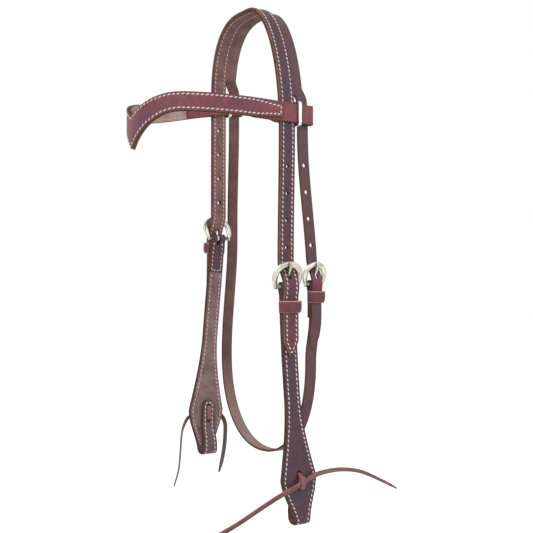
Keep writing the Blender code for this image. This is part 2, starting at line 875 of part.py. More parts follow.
def cheekpiece_routes(buckling):
    """The middles of both layers: the outer one turns back inside, over the bar, above the lining."""
    loop = []
    for p in bar_loop(buckling, TURNBACK, LOOP_TAPER)[:-1]:
        loop.append(p + ALONG_Y * cheek_sway(buckling.side, p.z - buckling.bar_z))
    hint = ALONG_Y * buckling.side
    outer = Route(loop + fold_line(buckling, buckling.layer + GAP, -LOOP_TAPER)[1:], hint)
    lining = Route(fold_line(buckling, 0, -TURNBACK - GAP), hint)
    return outer, lining


def cheek_edges(buckling, route):
    """A layer's edges: strap, paddle and bit end on its way down, and the laced end past the fold."""
    bottom_z = buckling.bar_z - CHEEK_LENGTH
    lowest = min(route.along, key=lambda d: route.place(d).z)

    def edges(distance):
        height = route.place(distance).z - bottom_z
        if distance <= lowest:
            half = paddle_width(height) / 2
            return -half, half
        half = mix(BIT_END_WIDTH, LACED_END_WIDTH, ease(height / (FOLD_CLOSE + BIT_GAP))) / 2
        left = (LACED_END - height) / half
        if left < 1:
            half *= math.sqrt(1 - (1 - left) ** 2 * END_ROUND_SHARE)
        return -half, half

    return edges


def build_cheekpiece(side_name, buckling, materials):
    """Two stitched layers: the outer one wraps the buckle's bar, and both fold up at the bit end."""
    layer = buckling.layer
    outer, lining = cheekpiece_routes(buckling)
    mesh = bmesh.new()
    for height in (LACE_HOLE_LOW, LACE_HOLE_HIGH):
        middle = cheek_point(buckling, 0, height - CHEEK_LENGTH)
        reach = Vector((3 * layer + 3 * GAP + LACE_HOLE_RADIUS, 0, 0))
        cylinder_between(mesh, middle - reach, middle + reach, LACE_HOLE_RADIUS, HOLE_SIDES)
    notch_box(mesh, buckling)
    cutter = finish(mesh, "cheekpiece_cutter", None)
    over = max(outer.along, key=lambda d: outer.place(d).z)
    below = outer.where(lambda p: p.z <= buckling.bar_z - TURNBACK, over)
    for name, route, start in (("outer", outer, below), ("lining", lining, 0)):
        lowest = min(p.z for p in route.points) + GAP * TOUCH_SHARE
        flat = [d for d, p in zip(route.along, route.points) if p.z < lowest]
        stations = route.stations(start, route.length, OUTLINE_SPACING, (flat[0], flat[-1]))
        if start:
            stations = route.stations(0, start, STATION_SPACING) + stations[1:]
        piece = strap(
            side_name + "_cheek_" + name,
            route,
            stations,
            cheek_edges(buckling, route),
            (-layer / 2, layer / 2),
            materials["leather"],
        )
        modify(piece, cutter, "DIFFERENCE")
    discard(cutter)


def rim_line(buckling, samples=22):
    """The horseshoe's middle line as (aside, rise), from one foot over the arch to the other."""
    widest = buckling.frame_rise * WIDEST_SHARE
    half = buckling.frame_half
    line = []
    for i in range(FOOT_STEPS):
        share = i / FOOT_STEPS
        line.append((-mix(half * FOOT_SHARE, half, ease(share)), mix(-FRAME_FOOT, widest, share)))
    for i in range(samples + 1):
        turn = math.pi * i / samples
        power = 2 / ARCH_POWER
        aside = -half * math.copysign(abs(math.cos(turn)) ** power, math.cos(turn))
        line.append((aside, widest + (buckling.frame_rise - widest) * math.sin(turn) ** power))
    line += [(-aside, rise) for aside, rise in reversed(line[:FOOT_STEPS])]
    return line


def build_buckle(name, buckling, materials):
    """A cast half-round frame with its bar across the feet, and the prong on the bar."""
    facing = buckling.frame_axes()[1]
    line = rim_line(buckling)
    points = [buckling.in_frame(aside + buckling.slide, rise, 0) for aside, rise in line]
    sizes = []
    for i in range(len(line)):
        end = min(i, len(line) - 1 - i) / (FOOT_STEPS + 1)
        full = mix(FOOT_SIZE_SHARE, 1, ease(end))
        sizes.append((buckling.rim_half * full, buckling.rim_deep * mix(FOOT_SIZE_SHARE, 1, end)))
    for i, (wide, deep) in enumerate(sizes):
        sizes[i] = (wide, min(deep, buckling.rim_deep))
    frame = tube(name + "_frame", points, sizes, FRAME_SIDES, facing, materials["metal"])
    mesh = bmesh.new()
    half_bar = buckling.frame_half * BAR_REACH_SHARE
    ends = [buckling.in_frame(a + buckling.slide, 0, 0) for a in (-half_bar, half_bar)]
    cylinder_between(mesh, ends[0], ends[1], buckling.bar_radius, BAR_SIDES)
    bar = finish(mesh, "bar", None)
    modify(frame, bar, "UNION")
    discard(bar)
    own_axis(frame, buckling.bar())

    mesh = bmesh.new()
    path = prong_line(buckling)
    tip = len(path) - 1
    points = [buckling.in_frame(0, p.x, p.y) for p in path]
    sizes = []
    for i in range(len(path)):
        r = PRONG_RADIUS * mix(1, TIP_SIZE_SHARE, ease((i - tip) / TIP_STEPS + 1))
        sizes.append((r, r))
    tube_mesh(mesh, points, sizes, WIRE_SIDES, ALONG_Y)
    prong = finish(mesh, name + "_prong", materials["metal"], smooth=True)
    mesh = bmesh.new()
    inner = buckling.bar_radius + PRONG_PLAY
    outer = buckling.loop_radius + buckling.layer / 2
    loops = []
    half = PRONG_RADIUS
    for radius, aside in ((inner, half), (outer, half), (outer, -half), (inner, -half)):
        loop = []
        for k in range(ROOT_SIDES):
            turn = math.tau * k / ROOT_SIDES
            loop.append(
                mesh.verts.new(buckling.in_frame(aside, radius * math.cos(turn), radius * math.sin(turn)))
            )
        loops.append(loop)
    for first, second in zip(loops, loops[1:] + loops[:1]):
        for k in range(ROOT_SIDES):
            j = (k + 1) % ROOT_SIDES
            mesh.faces.new((first[k], first[j], second[j], second[k]))
    root = finish(mesh, "root", None)
    modify(prong, root, "UNION")
    discard(root)
    own_axis(prong, buckling.bar())


def own_axis(item, place):
    """Puts the object's origin on its hinge."""
    item.data.transform(Matrix.Translation(-place))
    item.location = place


def build_keeper(name, buckling, sway, materials):
    """A loop sewn between the layers at their edges, open towards the head."""
    drop = buckling.keeper_drop
    half = (STRAP_WIDTH if buckling is not THROAT else THROAT_WIDTH) / 2
    aside = half + GAP + KEEPER_THICKNESS / 2
    seat = buckling.bar_depth
    deepest = buckling.inner_depth(KEEPER_HEIGHT / 2 - drop) + buckling.billet
    top = deepest + KEEPER_CLEARANCE + KEEPER_THICKNESS / 2
    corner = KEEPER_CORNER
    flat = [(-aside, seat), (-aside, top - corner)]
    for i in range(1, KEEPER_STEPS + 1):
        turn = math.pi / 2 * i / KEEPER_STEPS
        flat.append((-aside + corner * (1 - math.cos(turn)), top - corner + corner * math.sin(turn)))
    flat += [(-a, d) for a, d in reversed(flat)]
    lean = (cheek_point(buckling, 0, -drop) - cheek_point(buckling, 0, -drop - corner)) if sway else ALONG_Z
    shift = cheek_sway(buckling.side, -drop) if sway else 0
    route = Route([buckling.point(d, -drop, a + shift) for a, d in flat], lean.normalized())
    stations = [0, *route.along[1:-1], route.length]
    half_height, half_thick = KEEPER_HEIGHT / 2, KEEPER_THICKNESS / 2
    strap(
        name,
        route,
        stations,
        lambda d: (-half_height, half_height),
        (-half_thick, half_thick),
        materials["leather"],
    )


def brow_z(side, y):
    rise = BROW_NEAR_RISE if side == NEAR else BROW_FAR_RISE
    return BROW_Z + rise * ease((y + BROW_FRONT) / (straps_rear + BROW_FRONT))


def brow_legs(side):
    """How far out the middles of the browband's inner and outer legs run, past the crown."""
    line = Route([p for p in crown_route().points if p.x * side > REST_HALF], ALONG_Y)
    middle = brow_z(side, straps_rear)
    reach = BROW_HEIGHT / 2
    beside = [
        abs(p.x) for p in line.points if middle - reach - BROW_DOWN <= p.z <= middle + reach + BROW_UP
    ]
    space = BROW_CLEARANCE + BROW_THICKNESS / 2
    return min(beside) - space, max(beside) + cheek_billet + space


def brow_half(side, samples=60):
    """One half of the browband in plan: lap, inner leg, fold, outer leg and quarter round."""
    x_in, x_out = brow_legs(side)
    radius = (x_out - x_in) / 2
    fold_y = straps_rear
    y_edge = STRAP_FORE - STRAP_WIDTH / 2 - BROW_CLEARANCE
    quarter = []
    for i in range(samples + 1):
        turn = math.pi / 2 * i / samples
        reach = BROW_FRONT - BROW_STRAIGHT
        quarter.append(Vector((x_out * math.cos(turn), -BROW_STRAIGHT - reach * math.sin(turn), 0)))
    plan = Route([(x_out, y_edge, 0), *quarter[1:]], ALONG_Z)
    lap = []
    for i in range(LAP_STEPS + 1):
        d = mix(BROW_TURN + BROW_LAP, BROW_TURN, i / LAP_STEPS)
        here, out = plan.place(d), plan.axes(d)[1]
        lap.append(here - out * (BROW_THICKNESS + GAP) * math.copysign(1, out.x))
    start = lap[-1]
    for i in range(1, LAP_STEPS + 1):
        share = i / LAP_STEPS
        lap.append(Vector((mix(start.x, x_in, ease(share)), mix(start.y, y_edge, share), 0)))
    leg = [mix(y_edge, fold_y, i / LAP_STEPS) for i in range(1, LAP_STEPS + 1)]
    lap += [Vector((x_in, y, 0)) for y in leg]
    for i in range(1, FOLD_STEPS):
        turn = math.pi * i / FOLD_STEPS
        lap.append(
            Vector(
                (
                    mix(x_in, x_out, (1 - math.cos(turn)) / 2),
                    fold_y + radius * FOLD_SHARE * math.sin(turn),
                    0,
                )
            )
        )
    lap += [Vector((x_out, y, 0)) for y in [*reversed(leg), y_edge]]
    points = lap + quarter
    return [Vector((side * p.x, p.y, brow_z(side, p.y))) for p in points]


def build_browband(materials):
    """The base loops round both straps at each end; the shaped overlay is stitched to it."""
    near = brow_half(NEAR)
    far = brow_half(FAR)
    route = Route(near + list(reversed(far[:-1])), ALONG_Z)
    middle = min(route.along, key=lambda d: abs(route.place(d).x) + (route.place(d).y > 0))
    half = BROW_HEIGHT / 2

    def edges(distance):
        share = max(0, 1 - abs(distance - middle) / V_REACH) ** V_POWER
        return -half - V_DROP * share, half - V_TOP_DROP * share

    def overlay_edges(distance):
        low, high = edges(distance)
        return low + OVERLAY_INSET, high - OVERLAY_INSET

    layer = BROW_THICKNESS / 2
    stations = route.stations(0, route.length, OUTLINE_SPACING, (middle,))
    strap("browband_base", route, stations, edges, (-layer, layer), materials["leather"])
    y_end = STRAP_FORE - STRAP_WIDTH / 2 - OVERLAY_STOP
    fold = route.where(lambda p: p.y > straps_rear)
    start = route.where(lambda p: p.y <= y_end, fold)
    end = route.where(lambda p: p.y >= y_end, middle)
    inner = [start] + [d for d in stations if start < d < end] + [end]
    strap(
        "browband_overlay",
        route,
        inner,
        overlay_edges,
        (-layer - GAP - BROW_OVERLAY, -layer - GAP),
        materials["overlay"],
    )


def build_ring(side_name, side, materials):
    """The metal ring round both legs of the browband, between cheek strap and throat strap."""
    inner, outer = brow_legs(side)
    space = BROW_THICKNESS / 2 + RING_CLEARANCE + RING_RADIUS
    x_low, x_high = inner - space, outer + space
    fore = STRAP_FORE + STRAP_WIDTH / 2 + SPLIT_SPREAD / 2
    z = brow_z(side, fore)
    rise = BROW_HEIGHT / 2 + RING_CLEARANCE + RING_RADIUS
    corner = RING_RADIUS * 2
    points = []
    for cx, cz, start in (
        (x_high - corner, z + rise - corner, 0),
        (x_low + corner, z + rise - corner, 1),
        (x_low + corner, z - rise + corner, 2),
        (x_high - corner, z - rise + corner, 3),
    ):
        for i in range(CORNER_STEPS + 1):
            turn = math.pi / 2 * (start + i / CORNER_STEPS)
            points.append(
                Vector((side * (cx + corner * math.cos(turn)), fore, cz + corner * math.sin(turn)))
            )
    sizes = [(RING_RADIUS, RING_RADIUS)] * len(points)
    tube(side_name + "_browband_ring", points, sizes, WIRE_SIDES, ALONG_Y, materials["ring"], closed=True)


def build_lace(side_name, buckling, tails, materials):
    """The tie lace: through both holes and knotted outside, with its two free tails."""
    side, layer = buckling.side, buckling.layer
    face = 2 * layer + GAP
    back = -2 * (layer + GAP)
    low, high = LACE_HOLE_LOW - CHEEK_LENGTH, LACE_HOLE_HIGH - CHEEK_LENGTH
    depth_in = back - GAP - LACE_THICKNESS / 2
    wrap_deep = WRAP_RADIUS * WRAP_FLAT_SHARE
    depth_out = face + GAP + wrap_deep + WRAP_TUBE
    corners = [(depth_out, high), (depth_in, high), (depth_in, low), (depth_out, low)]
    flat = [corners[0]]
    for (d, h), sign in ((corners[1], -1), (corners[2], 1)):
        for i in range(BEND_STEPS + 1):
            turn = math.pi / 2 * i / BEND_STEPS
            ahead, aside = LACE_BEND * (1 - math.sin(turn)), LACE_BEND * (1 - math.cos(turn))
            if sign < 0:
                flat.append((d + ahead, h - aside))
            else:
                flat.append((d + aside, h + ahead))
    flat.append(corners[3])
    points = [cheek_point(buckling, d, h) for d, h in flat]
    sizes = [(LACE_THICKNESS / 2, LACE_WIDTH / 2)] * len(points)
    knot = tube(side_name + "_tie_knot", points, sizes, WIRE_SIDES, ALONG_Y, materials["lace"])
    centre = cheek_point(buckling, depth_out, mix(low, high, KNOT_SHARE))
    run = Vector((0, math.cos(KNOT_SLANT), math.sin(KNOT_SLANT)))
    out = Vector((side, 0, 0))
    ends = [centre - run * KNOT_LENGTH / 2, centre + run * KNOT_LENGTH / 2]
    line = [ends[0].lerp(ends[1], i / STRIP_STEPS) for i in range(STRIP_STEPS + 1)]
    swell = [(KNOT_WIDTH / 2, KNOT_THICKNESS / 2)] * len(line)
    strip = tube("strip", line, swell, WIRE_SIDES, out, None)
    across = run.cross(out)
    loop = []
    for i in range(WRAP_STEPS):
        turn = math.tau * i / WRAP_STEPS
        loop.append(centre + across * WRAP_RADIUS * math.cos(turn) + out * wrap_deep * math.sin(turn))
    sizes = [(WRAP_TUBE, WRAP_TUBE)] * WRAP_STEPS
    wrap = tube("wrap", loop, sizes, WIRE_SIDES, run, None, closed=True)
    upright = []
    for i in range(BEND_STEPS + 1):
        upright.append(cheek_point(buckling, depth_out, mix(low, high, i / BEND_STEPS)))
    sizes = [(LACE_WIDTH / 2, KNOT_THICKNESS / 2)] * len(upright)
    legs = tube("legs", upright, sizes, WIRE_SIDES, out, None)
    for tool in (legs, strip, wrap):
        modify(knot, tool, "UNION")
        discard(tool)
    for name, (end, heading, offsets) in tails.items():
        start = ends[end] + run * heading * LACE_START
        points = [start, start + run * heading * LACE_LEAD]
        points += [start + Vector((side * a, b, c)) * TAIL_REACH for a, b, c in offsets]
        build_tail(side_name + "_" + name, points, materials["lace"])


def build_tail(name, points, material):
    """A free end of lace as a round cord along hand-placed points."""
    line = smooth_line([Vector(p) for p in points], TAIL_SAMPLES)
    curve = bpy.data.curves.new(name, "CURVE")
    curve.dimensions = "3D"
    curve.bevel_depth = TAIL_RADIUS
    curve.bevel_resolution = 2
    curve.use_fill_caps = True
    spline = curve.splines.new("POLY")
    spline.points.add(len(line) - 1)
    for point, place in zip(spline.points, line):
        point.co = (*place, 1)
    curve.materials.append(material)
    item = bpy.data.objects.new(name, curve)
    bpy.context.scene.collection.objects.link(item)


# Each tail's path: its end of the knot, its heading there, and its places in shares of the reach
NEAR_TAIL_SHARES = {
    "tail_rear": (
        1,
        1,
        (
            (0.03, 0.13, 0.05),
            (0.05, 0.32, 0.06),
            (0.06, 0.54, 0.02),
            (0.06, 0.77, -0.08),
            (0.05, 0.99, -0.19),
        ),
    ),
    "tail_front": (
        0,
        -1,
        (
            (0.03, -0.19, -0.05),
            (0.05, -0.41, -0.13),
            (0.05, -0.67, -0.24),
            (0.05, -0.95, -0.33),
            (0.04, -1.23, -0.39),
        ),
    ),
}
FAR_TAIL_SHARES = {
    "tail_rear": (
        1,
        1,
        (
            (0.02, 0.10, -0.02),
            (0.01, 0.19, -0.13),
            (0, 0.19, -0.30),
            (0, 0.165, -0.47),
            (-0.01, 0.115, -0.63),
        ),
    ),
    "tail_front": (
        0,
        -1,
        (
            (0.02, -0.09, -0.01),
            (0.01, -0.16, -0.13),
            (0, -0.185, -0.32),
            (-0.01, -0.21, -0.50),
            (-0.01, -0.26, -0.66),
        ),
    ),
}


# Each finish: its name, linear colour, roughness and how metallic it is
FINISHES = {
    "leather": ("oiled_leather", (0.135, 0.062, 0.066), 0.55, 0),
    "overlay": ("overlay_leather", (0.155, 0.066, 0.076), 0.5, 0),
    "lace": ("lace_leather", (0.150, 0.060, 0.062), 0.6, 0),
    "metal": ("nickel", (0.66, 0.63, 0.55), 0.28, 1),
    "ring": ("bright_nickel", (0.78, 0.78, 0.77), 0.2, 1),
}


def build_headstall():
    clear_scene()
    materials = {key: make_material(*look) for key, look in FINISHES.items()}
    build_crown(crown_route(), throat_route(), materials)
    for side_name, buckling, tails in (
        ("near", NEAR_CHEEK, NEAR_TAIL_SHARES),
        ("far", FAR_CHEEK, FAR_TAIL_SHARES),
    ):
        build_cheekpiece(side_name, buckling, materials)
        build_buckle(side_name + "_cheek_buckle", buckling, materials)
        build_keeper(side_name + "_cheek_keeper", buckling, True, materials)
        build_ring(side_name, buckling.side, materials)
        build_lace(side_name, buckling, tails, materials)
    build_buckle("throat_buckle", THROAT, materials)
    build_keeper("throat_keeper", THROAT, False, materials)
    build_browband(materials)


build_headstall()
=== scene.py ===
import json
import math

import bmesh
import bpy
from mathutils import Matrix, Vector

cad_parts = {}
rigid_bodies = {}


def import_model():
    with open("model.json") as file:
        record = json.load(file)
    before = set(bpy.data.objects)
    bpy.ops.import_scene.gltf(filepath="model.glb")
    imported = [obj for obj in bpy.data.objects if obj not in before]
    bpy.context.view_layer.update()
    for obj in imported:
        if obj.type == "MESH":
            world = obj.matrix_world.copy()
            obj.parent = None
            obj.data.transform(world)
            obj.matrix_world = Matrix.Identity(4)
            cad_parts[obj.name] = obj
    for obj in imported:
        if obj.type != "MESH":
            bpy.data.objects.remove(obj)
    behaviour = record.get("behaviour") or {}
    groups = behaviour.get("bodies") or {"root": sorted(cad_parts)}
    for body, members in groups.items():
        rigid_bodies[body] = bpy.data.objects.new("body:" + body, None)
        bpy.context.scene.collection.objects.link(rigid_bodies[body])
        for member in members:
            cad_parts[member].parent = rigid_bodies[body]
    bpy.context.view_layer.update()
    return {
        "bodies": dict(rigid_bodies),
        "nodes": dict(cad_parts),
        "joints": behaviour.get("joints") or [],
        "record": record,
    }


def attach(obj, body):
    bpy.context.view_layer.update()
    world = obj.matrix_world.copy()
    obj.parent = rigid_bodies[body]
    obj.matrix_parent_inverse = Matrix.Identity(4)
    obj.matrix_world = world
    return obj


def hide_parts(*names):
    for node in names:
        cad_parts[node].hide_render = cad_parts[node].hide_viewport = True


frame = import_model()


# Studio: a pale floor well below the hanging headstall, three broad soft lamps and an even sky.
# The camera looks at the near side from the front, level with the middle of the cheekpieces.
CAMERA_PLACE = Vector((0.7235, -0.4545, -0.2558))
CAMERA_AIM = Vector((0.0283, -0.0014, -0.2378))
CAMERA_LENS = 61.28
CAMERA_SENSOR = 36
FLOOR_Z = -0.66
FLOOR_HALF = 7
FLOOR_GLOW = 0.64
SKY = 0.5
# Each lamp's place, size and power.
LAMPS = (
    ((0.9, -1.3, 0.7), 1.3, 13),
    ((1.3, 0.7, 0.5), 1.2, 7),
    ((-1.1, -0.5, 0.8), 1.2, 5.5),
)
LAMP_TARGET = Vector((0, 0, -0.22))


class Value:
    """A node's output that takes Python's operators: each adds a Math node."""

    def __init__(self, graph, socket):
        self.graph = graph
        self.socket = socket

    def math(self, operation, *others):
        inputs = dict(enumerate(others))
        return self.graph.node("ShaderNodeMath", inputs, operation=operation)

    def __add__(self, other):
        return self.math("ADD", self, other)

    def __mul__(self, other):
        return self.math("MULTIPLY", self, other)

    __radd__ = __add__
    __rmul__ = __mul__


class Graph:
    """The nodes of one material or of the sky."""

    def __init__(self, owner):
        owner.use_nodes = True
        self.tree = owner.node_tree

    def put(self, socket, value):
        """Links a node's output to a socket, or sets the socket to a number, vector or colour."""
        if isinstance(value, Value):
            self.tree.links.new(value.socket, socket)
        elif isinstance(value, tuple) and socket.type == "RGBA":
            socket.default_value = (*value, 1)
        else:
            socket.default_value = value

    def node(self, kind, inputs=None, output=0, **settings):
        made = self.tree.nodes.new(kind)
        for name, setting in settings.items():
            setattr(made, name, setting)
        for key, value in (inputs or {}).items():
            self.put(made.inputs[key], value)
        return Value(self, made.outputs[output])

    def feed(self, shader="Principled BSDF", **sockets):
        """Sets or links a shader's own sockets, with an underscore for each space."""
        for name, value in sockets.items():
            self.put(self.tree.nodes[shader].inputs[name.replace("_", " ")], value)


def seen_directly(graph):
    """1 for what the camera sees, straight or in metal, and 0 for light on the way to a surface."""
    path = "ShaderNodeLightPath"
    camera = graph.node(path, output="Is Camera Ray")
    glossy = graph.node(path, output="Is Glossy Ray")
    through = graph.node(path, output="Is Transmission Ray")
    return camera.math("MAXIMUM", camera.math("MAXIMUM", camera, glossy), through)


def stand(name, data):
    """An object in the scene with this mesh, lamp or camera."""
    item = bpy.data.objects.new(name, data)
    bpy.context.scene.collection.objects.link(item)
    return item


camera_data = bpy.data.cameras.new("camera")
camera_data.lens = CAMERA_LENS
camera_data.sensor_width = CAMERA_SENSOR
camera = stand("camera", camera_data)
camera.location = CAMERA_PLACE
camera.rotation_euler = (CAMERA_AIM - CAMERA_PLACE).to_track_quat("-Z", "Y").to_euler()
bpy.context.scene.camera = camera
bpy.context.scene.view_settings.view_transform = "Standard"

for i, (place, size, power) in enumerate(LAMPS):
    lamp_data = bpy.data.lights.new("lamp_%d" % i, "AREA")
    lamp_data.size = size
    lamp_data.energy = power
    lamp = stand("lamp_%d" % i, lamp_data)
    lamp.location = place
    lamp.rotation_euler = (LAMP_TARGET - Vector(place)).to_track_quat("-Z", "Y").to_euler()

world = bpy.data.worlds.new("sky")
bpy.context.scene.world = world
sky = Graph(world)
sky.feed("Background", Color=(1, 1, 1), Strength=SKY + seen_directly(sky) * (1 - SKY))

floor_mesh = bpy.data.meshes.new("floor")
corners = [(x * FLOOR_HALF, y * FLOOR_HALF, FLOOR_Z) for x, y in ((-1, -1), (1, -1), (1, 1), (-1, 1))]
floor_mesh.from_pydata(corners, [], [(0, 1, 2, 3)])
floor = stand("floor", floor_mesh)
floor_finish = bpy.data.materials.new("pale_floor")
floor_graph = Graph(floor_finish)
floor_graph.feed(Base_Color=(0.8, 0.8, 0.8), Roughness=0.9, Emission_Color=(1, 1, 1))
floor_graph.feed(Emission_Strength=seen_directly(floor_graph) * FLOOR_GLOW)
floor_mesh.materials.append(floor_finish)


# Tie lace tails: narrow strips cut from the same oiled hide, each free end left hanging from its knot.
# They are stiff enough to stand out from the paddle, and are cut off at a slant.
ALONG_Y = Vector((0, 1, 0))
ALONG_Z = Vector((0, 0, 1))
LACE_WIDE = 0.0043
LACE_THICK = 0.0019
LACE_TIP = 0.010
LACE_TIP_SHARE = 0.42
LACE_TIP_THIN = 0.6
LACE_TURNED_BY = 0.4
LACE_STEP = 0.0014
# Each tail's width at its end as a share, and its turn at its knot and further on, in degrees.
TAIL_LAY = {
    "near_tail_rear": (0.58, 0, 16),
    "near_tail_front": (0.9, 0, -14),
    "far_tail_rear": (0.86, -45, 26),
    "far_tail_front": (0.6, -20, -57),
}
TAILS = {
    "near_tail_rear": (
        (0.0674, 0.0172, -0.4267), (0.0674, 0.0210, -0.4252), (0.0704, 0.0302, -0.4217),
        (0.0724, 0.0492, -0.4207), (0.0734, 0.0712, -0.4247), (0.0734, 0.0942, -0.4347),
        (0.0724, 0.1162, -0.4457),
    ),
    "near_tail_front": (
        (0.0674, 0.0045, -0.4319), (0.0674, 0.0007, -0.4334), (0.0704, -0.0146, -0.4369),
        (0.0724, -0.0366, -0.4449), (0.0724, -0.0626, -0.4559), (0.0724, -0.0906, -0.4649),
        (0.0714, -0.1186, -0.4709),
    ),
    "far_tail_rear": (
        (-0.0674, -0.0079, -0.3787), (-0.0674, -0.0042, -0.3772), (-0.0694, 0.0021, -0.3807),
        (-0.0684, 0.0111, -0.3917), (-0.0674, 0.0111, -0.4087), (-0.0674, 0.0086, -0.4257),
        (-0.0664, 0.0036, -0.4417),
    ),
    "far_tail_front": (
        (-0.0674, -0.0207, -0.3839), (-0.0674, -0.0245, -0.3854), (-0.0694, -0.0297, -0.3849),
        (-0.0684, -0.0367, -0.3969), (-0.0674, -0.0392, -0.4159), (-0.0664, -0.0417, -0.4339),
        (-0.0664, -0.0467, -0.4499),
    ),
}


def mix(start, end, share):
    return start + (end - start) * share


def ease(share):
    share = min(1, max(0, share))
    return share * share * (3 - 2 * share)


def smooth_line(knots, per_knot):
    """Points on a smooth curve through the knots."""
    knots = [Vector(k) for k in knots]
    ends = [2 * knots[0] - knots[1], *knots, 2 * knots[-1] - knots[-2]]
    line = []
    for a, b, c, d in zip(ends, ends[1:], ends[2:], ends[3:]):
        for i in range(per_knot):
            t = i / per_knot
            bent = (a * 2 - b * 5 + c * 4 - d) * t * t + (b * 3 - a - c * 3 + d) * t**3
            line.append((b * 2 + (c - a) * t + bent) / 2)
    line.append(knots[-1])
    return line


class Route:
    """A line through closely spaced points, read by the distance along it."""

    def __init__(self, points, hint):
        self.points = [Vector(p) for p in points]
        self.hint = hint
        self.along = [0.0]
        for a, b in zip(self.points, self.points[1:]):
            self.along.append(self.along[-1] + (b - a).length)
        self.length = self.along[-1]

    def place(self, distance):
        distance = min(max(distance, 0), self.length)
        low, high = 0, len(self.along) - 1
        while high - low > 1:
            middle = (low + high) // 2
            if self.along[middle] <= distance:
                low = middle
            else:
                high = middle
        share = (distance - self.along[low]) / (self.along[high] - self.along[low])
        return self.points[low].lerp(self.points[high], share)

    def axes(self, distance, reach=0.0008):
        tangent = (self.place(distance + reach) - self.place(distance - reach)).normalized()
        across = (self.hint - tangent * self.hint.dot(tangent)).normalized()
        return across, tangent.cross(across)

    def on(self, distance, aside, outward):
        """A point beside the line, and the way out there."""
        across, out = self.axes(distance)
        return self.place(distance) + across * aside + out * outward, out

    def where(self, test, start=0.0):
        """The distance, from start on, of the first point that passes the test."""
        for point, distance in zip(self.points, self.along):
            if distance >= start and test(point):
                return distance
        return self.length

    def stations(self, start, end, spacing=0.0016, keep=()):
        """Distances for cross-sections, close together where the route bends."""
        found = [start]
        facing = self.axes(start)[1]
        distance = start
        while distance < end - spacing / 4:
            distance += spacing / 4
            out = self.axes(distance)[1]
            if distance - found[-1] >= spacing or facing.angle(out) >= MOST_TURN:
                found.append(distance)
                facing = out
        found = [d for d in found if end - d > spacing / 4]
        for kept in keep:
            nearest = min(found[1:], key=lambda d: abs(d - kept))
            found[found.index(nearest)] = kept
        return sorted(found) + [end]


MOST_TURN = math.radians(6)
ROUNDING = 0.00045
ROUND_STEPS = 4
FACE_STEPS = 12
EDGE_WEAR = 0.0022
GROOVE_DEEP = 0.00018
GROOVE_WIDE = 0.0009
WELD = 0.00001
GRAIN, EDGE, FLESH = 0, 1, 2


def section(low, high, inner, outer, soft_low=1, soft_high=1, groove=None):
    """A strap's outline with rounded edges, as (aside, outward, face, nearness to an edge).

    It runs along the inner face from low to high, round the high edge, and back outside.
    """
    r = min(ROUNDING, (outer - inner) / 2.2, (high - low) / 4)
    lr, hr = r * soft_low, r * soft_high
    outline = []

    def arc(cx, cy, radius, start):
        for i in range(ROUND_STEPS + 1):
            turn = start + math.pi / 2 * i / ROUND_STEPS
            outline.append((cx + radius * math.cos(turn), cy + radius * math.sin(turn), EDGE, 1))

    def face(start, end, out, kind, dip):
        for i in range(1, FACE_STEPS):
            a = mix(start, end, i / FACE_STEPS)
            near = max(0, 1 - min(a - low, high - a) / EDGE_WEAR)
            outline.append((a, out - dip(a), kind, near))

    def sunk(a):
        if groove is None:
            return 0
        inset = min(a - low, high - a)
        return GROOVE_DEEP * math.exp(-(((inset - groove) / GROOVE_WIDE) ** 2))

    arc(low + lr, inner + lr, lr, math.pi)
    face(low + lr, high - hr, inner, FLESH, lambda a: -sunk(a))
    arc(high - hr, inner + hr, hr, -math.pi / 2)
    arc(high - hr, outer - hr, hr, 0)
    face(high - hr, low + lr, outer, GRAIN, sunk)
    arc(low + lr, outer - lr, lr, math.pi / 2)
    return outline


class Loft:
    """A mesh made of cross-sections along routes, with each point's nearness to an edge kept."""

    def __init__(self):
        self.mesh = bmesh.new()
        self.edge = self.mesh.verts.layers.float.new("edge")

    def ring(self, route, distance, outline):
        here = route.place(distance)
        across, out = route.axes(distance)
        ring = []
        for aside, outward, kind, near in outline:
            vertex = self.mesh.verts.new(here + across * aside + out * outward)
            vertex[self.edge] = near
            ring.append((vertex, kind))
        return ring

    def join(self, first, second, skip=()):
        count = len(first)
        for i in range(count):
            j = (i + 1) % count
            if i in skip:
                continue
            face = self.mesh.faces.new((first[i][0], first[j][0], second[j][0], second[i][0]))
            kinds = (first[i][1], first[j][1])
            face.material_index = min((k for k in kinds if k != EDGE), default=EDGE)
            face.smooth = True

    def cap(self, ring, kind=EDGE):
        face = self.mesh.faces.new([v for v, _ in ring])
        face.material_index = kind

    def run(self, route, distances, outline_at, capped=(True, True), kind=EDGE):
        rings = [self.ring(route, d, outline_at(d)) for d in distances]
        for first, second in zip(rings, rings[1:]):
            self.join(first, second)
        for ring, closed in ((rings[0], capped[0]), (rings[-1], capped[1])):
            if closed:
                self.cap(ring, kind)
        return rings

    def item(self, name, materials, weld=False):
        if weld:
            bmesh.ops.remove_doubles(self.mesh, verts=self.mesh.verts, dist=WELD)
        return made(self.mesh, name, materials)


def made(mesh, name, materials):
    """The mesh as an object with its materials, in slots in the order of its faces' numbers."""
    bmesh.ops.recalc_face_normals(mesh, faces=mesh.faces)
    data = bpy.data.meshes.new(name)
    mesh.to_mesh(data)
    mesh.free()
    for material in materials:
        data.materials.append(material)
    return stand(name, data)


def strap_piece(name, materials, route, stations, outline_at, kind=EDGE, weld=False):
    """One closed strap along a route, its ends of one kind of face."""
    loft = Loft()
    loft.run(route, stations, outline_at, kind=kind)
    return loft.item(name, materials, weld)


def place_piece(piece, body, node):
    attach(piece, body)
    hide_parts(node)


def tint(color):
    """A colour as the eye reads it, 0 to 255, in the linear values that a node takes."""
    return tuple(
        part / 12.92 if part <= 0.04045 else ((part + 0.055) / 1.055) ** 2.4
        for part in (level / 255 for level in color)
    )


